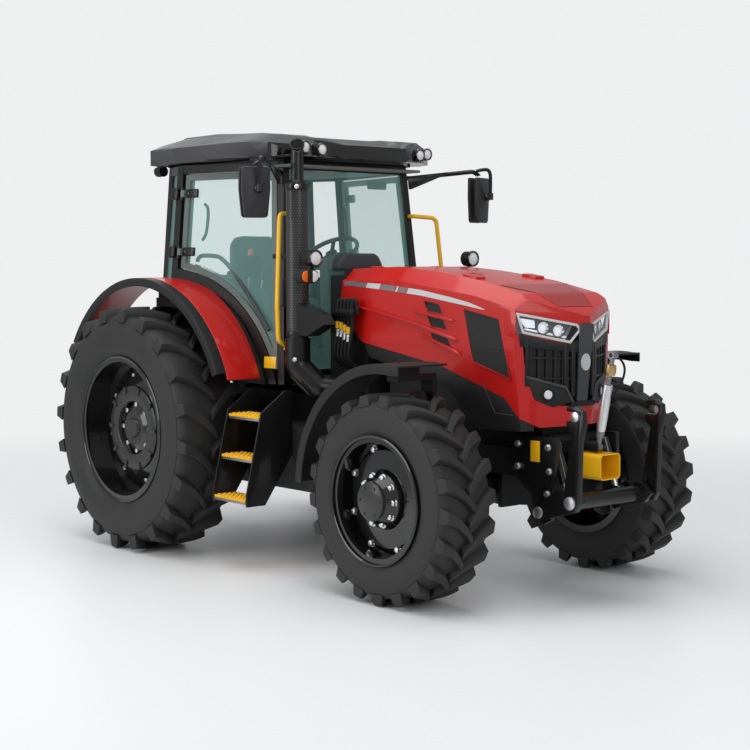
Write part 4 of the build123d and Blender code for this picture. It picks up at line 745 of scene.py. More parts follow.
class TRACTOR_OT_tyres(bpy.types.Operator):
    """Model the four tyres with their chevron lugs"""
    bl_idname = "tractor.tyres"
    bl_label = "Tyres"

    def execute(self, context):
        size = settings("tractor_tyres")
        for side, sign in SIDES:
            for row, section, lugs, swing, shoulder in (("rear", REAR_SECTION, size.rear_lugs, 0.235, 0.752),
                    ("front", FRONT_SECTION, size.front_lugs, 0.25, 0.552)):
                low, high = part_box(f"{row}_tyre_{side}")
                piece = tyre_piece((low + high) / 2, (high.z - low.z) / 2, section, lugs, swing, shoulder)
                dress(piece, f"{row}_tyre_lugged_{side}", f"{row}_wheel_{side}", "tyre_rubber", "tyre_rubber",
                    replaces=(f"{row}_tyre_{side}",), smooth=40)
        return {"FINISHED"}


class TRACTOR_OT_wheels(bpy.types.Operator):
    """Add the hubs, bolts and rim edges of the four wheels"""
    bl_idname = "tractor.wheels"
    bl_label = "Wheel bolts and hubs"

    def execute(self, context):
        head = settings("tractor_trim").bolt_radius
        for side, sign in SIDES:
            out = (0, sign, 0)
            rear, front = (Vector((hub.x, sign * abs(hub.y), hub.z)) for hub in (REAR_HUB, FRONT_HUB))

            def circle(count, hub, level, radius, start=0):
                return round_places(count, hub + Vector((0, sign * level, 0)), out, radius, start)

            for row, places in (("rear", circle(8, rear, 0.068, 0.165) + circle(8, rear, 0.04, 0.372, 0.2)),
                    ("front", circle(10, front, 0.15, 0.143) + circle(8, front, 0.086, 0.305, 0.35))):
                fit(f"{row}_wheel_bolts_{side}", "bright_steel", copies(bolt(head * 1.15, 0.028), places),
                    body=f"{row}_wheel_{side}")
            cap = turned([(0.206, 0), (0.228, 0), (0.228, 0.104), (0.222, 0.114), (0.15, 0.118), (0.15, 0)],
                front, out, 48)
            for place in circle(6, front, 0.2275, 0.09):
                cap = join(cap, put(rod((0, 0, 0), (0, 0, 0.006), 0.008, 12, bevel=0.001), place))
            fit(f"front_hub_cap_{side}", "hub_grey", cap, body=f"front_wheel_{side}")
            ring = turned([(0.098, 0.186), (0.118, 0.19), (0.122, 0.196), (0.122, 0.288), (0.116, 0.297),
                (0.098, 0.3)], rear, out, 72)
            boss = turned([(0.06, 0), (0.128, 0), (0.128, 0.06), (0.118, 0.07), (0.066, 0.085), (0.06, 0.085)],
                rear, out, 40)
            notches = copies(block((0, 0, 0), (0.05, 0.028, 0.016), 0.003), circle(10, rear, 0.124, 0.275))
            fit(f"rear_hub_ring_{side}", "hub_grey", ring, boss, notches, body=f"rear_wheel_{side}")
            for row, hub, seat, half in (("rear", rear, 0.483, 0.22), ("front", front, 0.356, 0.196)):
                bead = turned([(half + reach, seat + rise) for reach, rise in ((-0.004, 0.016), (0.004, 0.016),
                    (0.007, 0.023), (0.004, 0.03), (-0.004, 0.03))], hub, out, 96)
                fit(f"{row}_rim_edge_{side}", "rim_black", bead, body=f"{row}_wheel_{side}")
        return {"FINISHED"}


# ------------------------------------------------------------------ hood and nose
def round_edges(piece, width, segments, low, high, outside_of=None):
    """Round the edges where two faces meet between two angles, on the outer skin only if asked."""
    data = piece.data
    meeting = {}
    for face in data.polygons:
        for key in face.edge_keys:
            meeting.setdefault(key, []).append(face)
    for item in (*data.vertices, *data.edges, *data.polygons):
        item.select = False
    for edge in data.edges:
        pair = meeting.get(edge.key, [])
        if len(pair) != 2 or pair[0].normal.length < 0.5 or pair[1].normal.length < 0.5:
            continue
        turn = math.degrees(pair[0].normal.angle(pair[1].normal))
        middle = (data.vertices[edge.vertices[0]].co + data.vertices[edge.vertices[1]].co) / 2
        out = outside_of is None or (pair[0].normal + pair[1].normal).dot(middle - outside_of(middle)) > 0
        edge.select = low < turn < high and out
    activate(piece)
    bpy.context.tool_settings.mesh_select_mode = (False, True, False)
    return edit(piece, (bpy.ops.mesh.bevel, {"offset": width, "segments": segments, "affect": "EDGES",
        "clamp_overlap": True}), (bpy.ops.mesh.select_mode, {"type": "VERT"}), whole=False)


def along(line, share):
    """The point at a share of the way along a line of points, by its first coordinate."""
    goal = line[0][0] + (line[-1][0] - line[0][0]) * share
    for near, far in zip(line, line[1:]):
        if goal <= far[0] + 1e-9:
            part = (goal - near[0]) / (far[0] - near[0])
            return tuple(a + (b - a) * part for a, b in zip(near, far))
    return line[-1]


def clipped(line, start, end):
    """The part of a line of points between two first coordinates."""
    full = line[-1][0] - line[0][0]
    ends = [along(line, (limit - line[0][0]) / full) for limit in (start, end)]
    return [ends[0]] + [point for point in line if start < point[0] < end] + [ends[1]]


def decal(lower, upper, target, axis, steps, rows=2, lift=0.0012):
    """A thin skin between two lines of points, laid on a target along an axis."""
    piece = begin("grid", x_subdivisions=steps, y_subdivisions=rows, size=1)
    for vertex in piece.data.vertices:
        share, height = vertex.co.x + 0.5, vertex.co.y + 0.5
        vertex.co = Vector(along(lower, share)).lerp(Vector(along(upper, share)), height)
    return modify(piece, "SHRINKWRAP", target=target, wrap_method="PROJECT", offset=lift,
        **{f"use_project_{axis[-1]}": True, "use_positive_direction": axis[0] == "+",
        "use_negative_direction": axis[0] == "-"})


NOSE_FACING = Vector((1, -0.494, 0)).normalized()


def nose(out, height, ahead=0):
    """A place on the right half of the nose by its distance from the middle and its height."""
    return spot(3.245 - 0.494 * out, -out, height) + NOSE_FACING * ahead


def nose_plate(points, ahead, thickness, bevel=0):
    """A plate on the right half of the nose, its back at a distance ahead of the nose's face."""
    return plate([nose(out, z, ahead) for out, z in points], tuple(NOSE_FACING * thickness), bevel)


def both_halves(half):
    """An outline from its right half, mirrored."""
    return [(-out, z) for out, z in reversed(half)] + half


def side_view(points, level):
    """Places on the right side from a side view (ahead, height)."""
    return [spot(x, -level, z) for x, z in points]


def side_strip(points, level, thickness, bevel=0.004):
    """A plate on the right side from a side view, its inner face at a distance out."""
    return plate(side_view(points, level), (0, -thickness, 0), bevel)


def ring_plate(points, width, push, bevel=0):
    """A flat frame of even width along an outline, pushed out to a thickness."""
    piece = outline(points)
    edit(piece, (bpy.ops.mesh.inset, {"thickness": width, "use_even_offset": True}),
        (bpy.ops.mesh.delete, {"type": "FACE"}), (bpy.ops.mesh.select_all, {"action": "SELECT"}),
        (bpy.ops.mesh.extrude_region_move, {"TRANSFORM_OT_translate": {"value": tuple(push)}}))
    outward(piece)
    return soften(piece, bevel, 2) if bevel else piece


# (ahead, height) along the stripe on the hood's side, and its parts with their ends
STRIPE_LOW = [(1.445, 1.862), (1.553, 1.861), (1.833, 1.841), (2.213, 1.809), (2.484, 1.773), (2.659, 1.749),
              (2.79, 1.731)]
STRIPE_TOP = [(1.445, 1.892), (1.553, 1.89), (1.833, 1.877), (2.213, 1.844), (2.484, 1.804), (2.659, 1.773),
              (2.79, 1.736)]
STRIPE_PARTS = (("rear", "stripe_grey", 1.452, 1.668), ("light", "white_paint", 1.676, 1.812),
                ("middle", "stripe_grey", 1.82, 1.962), ("slash", "white_paint", 1.972, 1.99),
                ("third", "stripe_grey", 2, 2.072), ("long", "white_paint", 2.082, 2.785))
# side views of the hood's fins with their depths, and of its four vents
FINS = (([(2.165, 1.717), (2.498, 1.676), (2.53, 1.657), (2.5, 1.655), (2.18, 1.702)], 0.026),
        ([(1.445, 1.754), (1.8, 1.708), (2.19, 1.642), (2.535, 1.562), (2.566, 1.542), (2.53, 1.538),
          (2.2, 1.618), (1.8, 1.697), (1.445, 1.748)], 0.024),
        ([(2.236, 1.573), (2.56, 1.48), (2.592, 1.452), (2.548, 1.458), (2.25, 1.561)], 0.026))
VENTS = ([(2.604, 1.741), (2.912, 1.688), (3.008, 1.322), (2.682, 1.414)],
         [(2.246, 1.781), (2.391, 1.763), (2.43, 1.692), (2.28, 1.71)],
         [(2.278, 1.688), (2.43, 1.669), (2.468, 1.598), (2.313, 1.617)],
         [(2.308, 1.584), (2.467, 1.565), (2.504, 1.494), (2.343, 1.513)])


class TRACTOR_OT_hood(bpy.types.Operator):
    """Model the hood's rounded skin, its stripe, fins and panels"""
    bl_idname = "tractor.hood"
    bl_label = "Hood"

    def execute(self, context):
        hood = round_edges(panel_copy("hood"), settings("tractor_trim").edge_radius * 2.2, 4, 4, 75,
            lambda point: Vector((min(point.x, REAR_HUB.x + 2.9), 0, 1.5)))
        on_hood("hood_skin", "red_paint", hood, both=False, replaces=("hood",), smooth=28)
        slant = 0.018
        for name, finish, start, end in STRIPE_PARTS:
            low = side_view(clipped(STRIPE_LOW, start, end), 0.5)
            top = side_view(clipped(STRIPE_TOP, start + slant if start > 1.5 else start,
                min(end + slant, 2.789)), 0.5)
            on_hood(f"hood_stripe_{name}", finish, decal(low, top, hood, "+y",
                max(3, int((end - start) / 0.03))), smooth=0)
        on_hood("hood_fins", "red_paint", *(side_strip(points, 0.403, depth, 0.005) for points, depth in FINS),
            smooth=30)
        # painted shade: the rims round the vents are painted a darker red
        on_hood("hood_vent_rims", "red_inset",
            *(ring_plate(side_view(points, 0.404), 0.006, (0, -0.01, 0), 0.002) for points in VENTS), smooth=30)
        on_hood("hood_screen_bars", "screen_ribbon", side_strip([(2.632, 1.604), (2.955, 1.552), (2.964, 1.52),
            (2.64, 1.572)], 0.4, 0.01, 0.003))
        crease = [seated(place, (0, 1, 0)).translation for place in side_view([(2.756, 1.3), (2.8, 1.21),
            (2.85, 1.115), (3.01, 1.112)], 0.55)]
        on_hood("side_panel_creases", "screen_ribbon",
            *(rod(near, far, 0.0035, 8) for near, far in zip(crease, crease[1:])))
        self.top(hood)
        on_hood("hood_rear_edge", "grip_rubber", side_strip([(1.432, 1.975), (1.448, 1.975), (1.448, 1.5),
            (1.432, 1.5)], 0.3, 0.075, 0.004))
        return {"FINISHED"}

    def top(self, hood):
        """The field ahead on the top, painted darker as shade, with its two lines, and the four low pads."""
        above = 2.2
        right, left = ([spot(2.79, hand * 0.295, above), spot(3.15, hand * 0.125, above)]
            for hand in (RIGHT, LEFT))
        # painted shade: a thin skin in the darker red lies over the field ahead on the top
        on_hood("hood_top_inset", "red_inset", decal(right, left, hood, "-z", 12, 12, 0.003), both=False,
            smooth=40)
        lines = []
        for hand in (LEFT, RIGHT):
            near = [spot(2.78, hand * 0.305, above), spot(3.155, hand * 0.132, above)]
            far = [spot(2.776, hand * 0.313, above), spot(3.159, hand * 0.14, above)]
            lines.append(decal(near, far, hood, "-z", 12, 1, 0.006))
        on_hood("hood_top_lines", "red_paint", *lines, both=False, smooth=40)
        on_hood("hood_pads", "red_paint",
            block(spot(2.545, -0.262, 1.926), (0.125, 0.085, 0.022), 0.008, turn=("Y", 8.4)),
            block(spot(1.64, -0.262, 1.981), (0.075, 0.06, 0.018), 0.006, turn=("Y", -2)))


# front views of the nose's plates: name, finish, how far ahead, thickness, bevel, (out, height) points
NOSE_PLATES = (
    ("fog_lamp_bezels", "dark_plastic", -0.004, 0.012, 0.005,
     [(0.35, 1.338), (0.128, 1.273), (0.088, 1.189), (0.2, 1.16), (0.3, 1.205)]),
    ("fog_lamp_lines", "cab_grey", -0.002, 0.015, 0.002,
     [(0.352, 1.35), (0.125, 1.284), (0.08, 1.19), (0.09, 1.186), (0.132, 1.272), (0.35, 1.336)]),
    ("headlamp_ends", "grille_black", 0.0008, 0.003, 0,
     [(0.092, 1.64), (0.064, 1.642), (0.046, 1.619), (0.104, 1.544), (0.134, 1.551)]),
    ("grille_brows", "grille_black", -0.004, 0.008, 0.002,
     [(0.392, 1.596), (0.108, 1.53), (0.06, 1.56), (0.052, 1.48), (0.385, 1.52)]))
BADGE_HEIGHT, BADGE_STRETCH = 1.424, 1.35


class TRACTOR_OT_nose(bpy.types.Operator):
    """Model the grille's bars, the head and fog lamps and the bare badge place"""
    bl_idname = "tractor.nose"
    bl_label = "Nose"

    def execute(self, context):
        self.headlamps()
        self.grille()
        for name, finish, ahead, thickness, bevel, points in NOSE_PLATES:
            on_hood(name, finish, nose_plate(points, ahead, thickness, bevel))
        fog = nose(0.229, 1.236)
        ring = turned([(0, 0.044), (0.014, 0.042), (0.02, 0.034), (0.014, 0.029), (0, 0.029)],
            fog, NOSE_FACING, 36)
        on_hood("fog_lamp_rings", "grip_rubber", ring)
        on_hood("fog_lamp_lenses", "lamp_lens", rod(fog, fog + NOSE_FACING * 0.015, 0.029, 36, tip=0.026,
            bevel=0.003))
        low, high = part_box("headlamps")
        rear = low[0] - spot(0, 0, 0).x - 0.004
        on_hood("headlamp_wings", "red_paint", side_strip([(rear, 1.742), (3.049, 1.722), (3.049, 1.572),
            (rear, 1.59)], 0.0004 - low[1], 0.004, 0.0015))
        return {"FINISHED"}

    def headlamps(self):
        frame_points = [(0.412, 1.722), (0.3, 1.7), (0.066, 1.652), (0.04, 1.619), (0.102, 1.536),
            (0.374, 1.598)]
        on_hood("headlamp_frames", "white_paint", ring_plate([nose(out, z, -0.008) for out, z in frame_points],
            0.015, tuple(NOSE_FACING * 0.016), 0.003), slot="lamp_lens")
        on_hood("headlamp_shells", "grille_black", nose_plate([(0.4, 1.708), (0.3, 1.688), (0.075, 1.64),
            (0.11, 1.55), (0.37, 1.608)], -0.047, 0.004))
        buckets, glows, rings = [], [], []
        radius = 0.034
        for out, z in ((0.253, 1.63), (0.167, 1.612)):
            back = nose(out, z, -0.045)
            buckets.append(turned([(0, radius), (0.036, radius + 0.006), (0.036, radius),
                (0.006, radius * 0.35), (0, 0)], back, NOSE_FACING, 32))
            glows.append(rod(back, nose(out, z, -0.016), radius * 0.72, 32, tip=radius * 0.5, bevel=0.003))
            rings.append(turned([(0, radius), (0.014, radius + 0.008), (0.018, radius + 0.004), (0.014, radius),
                (0, radius - 0.002)], nose(out, z, -0.022), NOSE_FACING, 32))
        on_hood("headlamp_buckets", "reflector", *buckets)
        on_hood("headlamp_rings", "grip_rubber", *rings)
        guide = nose_plate([(0.392, 1.69), (0.3, 1.674), (0.296, 1.628), (0.35, 1.632)], -0.03, 0.016, 0.003)
        low_guide = nose_plate([(0.355, 1.618), (0.125, 1.566), (0.118, 1.578), (0.35, 1.628)], -0.03, 0.014,
            0.002)
        on_hood("headlamp_lights", "lamp_glow", guide, low_guide, *glows)

    def grille(self):
        top = 1.652
        bar = plate([spot(3.222, out, z) for out, z in ((-0.06, top), (0.06, top), (0.046, 1.19),
            (-0.046, 1.19))], (0.016, 0, 0), 0.006)
        for vertex in bar.data.vertices:
            vertex.co.x -= (top - vertex.co.z) * 0.074
        on_hood("grille_centre_bar", "cab_grey", bar, both=False)
        badge = turned([(0, 0), (0.006, 0), (0.006, 0.03), (0.01, 0.033), (0.01, 0.037), (0, 0.038)],
            spot(3.22, 0, BADGE_HEIGHT), (1, 0, 0), 48)
        disc = rod(spot(3.224, 0, BADGE_HEIGHT), spot(3.229, 0, BADGE_HEIGHT), 0.03, 40)
        for name, finish, piece in (("badge_place", "white_paint", badge),
                ("badge_field", "bright_steel", disc)):
            for vertex in piece.data.vertices:
                vertex.co.z = BADGE_HEIGHT + (vertex.co.z - BADGE_HEIGHT) * BADGE_STRETCH
            on_hood(name, finish, piece, both=False, slot="bright_steel")
        slats = []
        for out, width in ((0.085, 0.012), (0.125, 0.014), (0.345, 0.012)):
            low, high = 1.2 + out * 0.25, 1.535 + out * 0.1
            slats.append(nose_plate([(out - width, low), (out + width, low), (out + width, high),
                (out - width, high)], -0.012, 0.018, 0.004))
        cross = [nose_plate([(out, z + rise) for out, rise in ((0.1, -0.008), (0.36, -0.002), (0.36, 0.01),
            (0.1, 0.004))], -0.006, 0.008, 0.002) for z in (1.33, 1.45)]
        on_hood("grille_slats", "grille_black", *slats, *cross)
        foot = plate([spot(3.196, y, z) for y, z in ((-0.11, 1.16), (0.11, 1.16), (0.09, 1.19), (-0.09, 1.19))],
            (0.01, 0, 0), 0.004)
        on_hood("grille_foot", "grille_black", foot, both=False)


# ------------------------------------------------------------------ body panels
# each panel's body, finish and width of rounding
PANELS = (("rear_fenders", "chassis", "red_paint", 0.004), ("fender_flares", "chassis", "dark_plastic", 0.004),
          ("front_fender_left", "steered_left", "dark_plastic", 0.004),
          ("front_fender_right", "steered_right", "dark_plastic", 0.004),
          ("side_panels", "hood_lid", "dark_plastic", 0.003), ("cowl", "chassis", "dark_plastic", 0.012),
          ("dashboard", "chassis", "cab_grey", 0.014), ("side_console", "chassis", "cab_grey", 0.025),
          ("seat_base", "chassis", "cab_grey", 0.018), ("side_tanks", "chassis", "dark_plastic", 0.03),
          ("front_linkage_frame", "chassis", "black_paint", 0.003),
          ("front_lift_arms", "front_lift", "black_paint", 0.004),
          ("front_hook_arms", "front_hooks", "black_paint", 0.004), ("steps", "chassis", "black_paint", 0.003))


class TRACTOR_OT_panels(bpy.types.Operator):
    """Round the fenders, flares, roof and black panels"""
    bl_idname = "tractor.panels"
    bl_label = "Body panels"

    def execute(self, context):
        for node, body, finish, width in PANELS:
            fit(node + "_rounded", finish, round_edges(panel_copy(node), width, 3, 28, 120), body=body,
                replaces=(node,), smooth=32)
        roof = round_edges(panel_copy("roof", 0.05), settings("tractor_trim").edge_radius, 3, 26, 100,
            lambda point: Vector((point.x * 0.9, 0, 2.6)))
        fit("roof_rounded", "roof_grey", roof, replaces=("roof",), smooth=42)
        visor = skin_part(roof, lambda face: face.normal.z < 0.55 and face.center.x > REAR_HUB.x + 1.02, 0.0016)
        fit("roof_visor", "visor_black", visor, smooth=30)
        return {"FINISHED"}


# ------------------------------------------------------------------ lamps, exhaust, mirrors and hoses
def skin_part(source, keep, lift):
    """The faces of a piece that pass a test, as a thin skin just over it."""
    piece = duplicate(source)
    for item in (*piece.data.vertices, *piece.data.edges):
        item.select = False
    for face in piece.data.polygons:
        face.select = not keep(face)
    activate(piece)
    bpy.context.tool_settings.mesh_select_mode = (False, False, True)
    return edit(piece, (bpy.ops.mesh.delete, {"type": "FACE"}), (bpy.ops.mesh.select_mode, {"type": "VERT"}),
        (bpy.ops.mesh.select_all, {"action": "SELECT"}), (bpy.ops.transform.shrink_fatten, {"value": lift}),
        whole=False)


def seated(place, towards):
    """The matrix that stands a piece on the first surface met from a place along a direction."""
    graph = bpy.context.evaluated_depsgraph_get()
    met, at, facing, *_ = bpy.context.scene.ray_cast(graph, Vector(place), Vector(towards).normalized())
    if not met:
        raise ValueError(f"no surface is met from {place}")
    return pointing(at, facing)


def lamp(place, facing, radius, depth=0.016):
    """A bezel ring and a crowned lens in front of a round lamp."""
    facing = Vector(facing).normalized()
    ring = turned([(0, radius * 1.14), (depth, radius * 1.12), (depth * 1.2, radius), (depth, radius * 0.88),
        (0, radius * 0.86)], place, facing, 40)
    glass = turned([(0.001, 0), (0.001, radius * 0.88), (depth * 0.75, radius * 0.87),
        (depth * 1.15, radius * 0.55), (depth * 1.3, 0)], place, facing, 40)
    return ring, glass


# the round lamps of the right side: place, which way they face, radius and depth
LAMPS = (("work_lamp", (spot(1.534, -0.707, 2.041), (1, 0, 0), 0.05, 0.018)),
         ("roof_lamp", (spot(1.276, -0.44, 2.763), (1, 0, 0), 0.038),
          (spot(1.233, -0.548, 2.776), (1, 0, 0), 0.038)),
         ("rear_roof_lamp", (spot(-0.431, -0.6, 2.77), (-1, 0, 0), 0.034),
          (spot(-0.431, -0.6, 2.684), (-1, 0, 0), 0.034)))
UP = Vector((0, 0, 1))


class TRACTOR_OT_fittings(bpy.types.Operator):
    """Model the exhaust, lamps, mirrors, hoses and steps"""
    bl_idname = "tractor.fittings"
    bl_label = "Outside fittings"

    def execute(self, context):
        self.exhaust()
        self.lights()
        self.mirrors()
        self.hoses()
        self.treads()
        return {"FINISHED"}

    def exhaust(self):
        sleeve = turned([(1.56, 0.0722), (2.488, 0.0722), (2.488, 0.0748), (1.56, 0.0748)], STACK, UP, 72)
        fit("exhaust_sleeve", "perforated_black", sleeve)
        rings = [turned([(low, 0.071), (low, 0.0765), (low + 0.004, 0.0785), (high - 0.004, 0.0785),
            (high, 0.0765), (high, 0.071)], STACK, UP, 72) for low, high in ((2.484, 2.532), (1.53, 1.562),
            (1.365, 1.392))]
        crown = turned([(2.53, 0.04), (2.545, 0.046), (2.552, 0.05), (2.545, 0.054), (2.53, 0.058)], STACK, UP,
            48)
        fit("exhaust_rings", "black_paint", *rings, crown)
        facing = Vector((0.594, -0.466, 0.656)).normalized()
        mouth = STACK + UP * 2.785
        lip = turned([(-0.006, 0.05), (0.006, 0.05), (0.008, 0.045), (0.004, 0.04), (-0.006, 0.04)], mouth,
            facing, 48)
        # painted shade: a near-black disc closes the pipe's mouth, for its sooty and shaded inside
        bore = rod(mouth - facing * 0.02, mouth + facing * 0.0035, 0.041, 40)
        fit("exhaust_lip", "black_paint", lip)
        fit("exhaust_bore", "soot", bore)
        clamps = []
        for level, turn in ((2.508, -0.7), (1.378, -0.9)):
            way = Vector((math.cos(turn), math.sin(turn), 0))
            clamps.append(turned([(0, 0), (0.006, 0.016), (0.014, 0.016), (0.018, 0.01), (0.018, 0)], STACK
                + way * 0.075 + UP * level, way, 6))
        fit("exhaust_clamp_bolts", "bright_steel", *clamps, smooth=20)

    def lights(self):
        for name, *rows in LAMPS:
            rings, lenses = zip(*(lamp(*row) for row in rows))
            fit_pair(name + "_rings", "rim_black", *rings, slot="dark_plastic")
            fit_pair(name + "_lenses", "lamp_lens", *lenses)
        capsule = [(math.cos(turn), math.sin(turn)) for turn in (math.tau * step / 28 for step in range(28))]
        rounded = [tuple(math.copysign(abs(part) ** 0.7, part) for part in pair) for pair in capsule]
        centre = spot(1.513, -0.758, 1.925)
        shell = plate([centre + Vector((-0.034, a * 0.074, b * 0.047)) for a, b in rounded], (0.07, 0, 0), 0.01,
            3)
        fit_pair("signal_shells", "dark_plastic", shell)
        for name, finish, low, high in (("amber", "amber_lens", -1, -0.02), ("clear", "lamp_lens", 0.02, 1)):
            half = sorted(((a, b) for a, b in rounded if low <= a <= high),
                key=lambda pair: math.atan2(pair[1], pair[0] - (low + high) / 2))
            lens = plate([centre + Vector((0.034, a * 0.064, b * 0.038)) for a, b in half], (0.012, 0, 0),
                0.005, 3)
            fit_pair(f"signal_{name}_lenses", finish, lens)
        fit_pair("tail_lamps", "tail_lens", *(block(spot(-0.292, -0.62, z), (0.02, 0.11, tall), 0.006, 3) for z,
            tall in ((1.7, 0.075), (1.62, 0.06))))
        fit_pair("tail_lamp_frames", "dark_plastic", block(spot(-0.287, -0.62, 1.662), (0.012, 0.134, 0.175),
            0.005))

    def mirrors(self):
        stand = Matrix.Translation(spot(1.29, -1.005, 2.465)) @ Matrix.Rotation(math.radians(-18), 4, "Z")
        half = [(0.066, -0.164), (0.08, -0.15), (0.097, 0.02), (0.094, 0.15), (0.086, 0.16)]
        head = both_halves(half)

        def shape(x, width=1, height=1):
            return [(x, y * width, z * height) for y, z in head]

        front = plate(shape(0.018), (0.026, 0, 0), 0.006, 3)
        peak = edit(outline(shape(0.043, 0.94, 0.95)), (bpy.ops.mesh.poke, {}))
        peak.data.vertices[-1].co = (0.078, 0.006, 0.012)
        base = outline(shape(0.042, 0.94, 0.95))
        back = plate(shape(-0.036), (0.018, 0, 0), 0.006, 3)
        fit_pair("mirror_shells", "mirror_shell", put(outward(join(front, peak, base, back)), stand), smooth=18)
        face = plate(shape(-0.0385, 0.86, 0.88), (0.003, 0, 0), 0.001)
        fit_pair("mirror_faces", "mirror_face", put(face, stand))
        ball = turned([(0, 0), (0, 0.028), (0.016, 0.031), (0.036, 0.024), (0.044, 0)], (0.06, 0.004, 0.02),
            (1, 0, 0), 32)
        collar = turned([(-0.024, 0), (-0.024, 0.022), (0.024, 0.022), (0.024, 0)], (0.102, 0.004, 0.024), UP,
            32)
        hanger = bent_bar([(0.102, 0.004, 0.02), (0.104, 0.004, 0.12), (0.102, 0.006, 0.206),
            (0.07, 0.03, 0.222), (0.02, 0.066, 0.205)], 0.013, 3)
        fork = put(join(ball, collar, hanger), stand)
        whole = panel_copy("mirrors")
        arms = skin_part(whole, lambda face: abs(face.center.y) < 0.895 or face.center.z > 2.64, 0)
        bpy.data.objects.remove(whole)
        fit("mirror_arms", "black_paint", arms, mirrored(fork), replaces=("mirrors",))

    def hoses(self):
        caps, fittings, loops = [], [], []
        for index, drop in enumerate((0, 0.004, 0.02, 0.034, 0.05)):
            top = spot(1.485 + 0.036 * index, -0.47, 0)
            if index < 4:
                caps.append(turned([(0, 0.0136), (0, 0.018), (0.004, 0.0188), (0.04, 0.0188), (0.044, 0.0175),
                    (0.044, 0.0136)], top + UP * (1.585 - drop), UP, 20))
                fittings.append(turned([(0, 0.0136), (0, 0.017), (0.012, 0.018), (0.014, 0.0158),
                    (0.03, 0.0158), (0.032, 0.0178), (0.048, 0.017), (0.048, 0.0136)], top
                    + UP * (1.532 - drop), UP, 12))
            loops.append(bent_bar([top + Vector(step) for step in ((0, 0, 1.7), (0, -0.004, 1.752),
                (0.012, 0.004, 1.786), (0.024, 0.018, 1.76), (0.026, 0.024, 1.682))], 0.013, 4))
            loops.append(turned([(0, 0), (0, 0.019), (0.02, 0.021), (0.03, 0.017), (0.03, 0)], top + UP * 1.682,
                UP, 20))
        fit("hose_caps", "yellow_paint", *caps)
        fit("hose_fittings", "bright_steel", *fittings, smooth=20)
        fit("hose_loops", "grip_rubber", *loops)

    def treads(self):
        plates, edges = [], []
        for height, out in ((1.015, 0.9), (0.75, 0.96), (0.485, 1.02)):
            middle = spot(1.1425, -out, height - 0.014)
            plates.append(block(middle, (0.34, 0.176, 0.034), 0.004))
            for row in range(4):
                for column in range(8):
                    plates.append(turned([(0, 0), (0, 0.013), (0.006, 0.01), (0.005, 0.006), (0.001, 0.005),
                        (0, 0)], middle + Vector((-0.147 + 0.042 * column, -0.062 + 0.041 * row, 0.016)), UP,
                        8))
            for tooth in range(14):
                plates.append(block(middle + Vector((-0.156 + 0.024 * tooth, -0.089, 0.01)),
                    (0.012, 0.01, 0.016), 0.002))
            edges.append(block(middle + Vector((0, -0.088, -0.008)), (0.336, 0.004, 0.016), 0.001))
        fit_pair("step_treads", "yellow_paint", *plates, smooth=25)
        fit_pair("step_edges", "worn_steel", *edges)


# ------------------------------------------------------------------ cab
SWELLING_FRAMES = 20
HINGE_HEIGHTS = (2.09, 2.5)


def swell(piece, voxel, pressure, reach):
    """Blow a pad up a little with a cloth simulation and keep each point near where it began."""
    modify(piece, "REMESH", mode="VOXEL", voxel_size=voxel)
    began = [vertex.co.copy() for vertex in piece.data.vertices]
    activate(piece)
    cloth = piece.modifiers.new("Cloth", "CLOTH")
    cloth.settings.use_pressure = True
    cloth.settings.uniform_pressure_force = pressure
    cloth.settings.effector_weights.gravity = 0
    for moment in range(1, SWELLING_FRAMES + 1):
        bpy.context.scene.frame_set(moment)
    bpy.ops.object.modifier_apply(modifier=cloth.name)
    bpy.context.scene.frame_set(1)
    for vertex, start in zip(piece.data.vertices, began):
        move = vertex.co - start
        if move.length > reach:
            vertex.co = start + move.normalized() * reach
    return piece


def pin(place, radius, facing=(0, -1, 0)):
    """A pin's domed end."""
    return turned([(0, 0), (0, radius), (0.01, radius * 0.94), (0.014, radius * 0.5), (0.016, 0)], place,
        facing, 32)


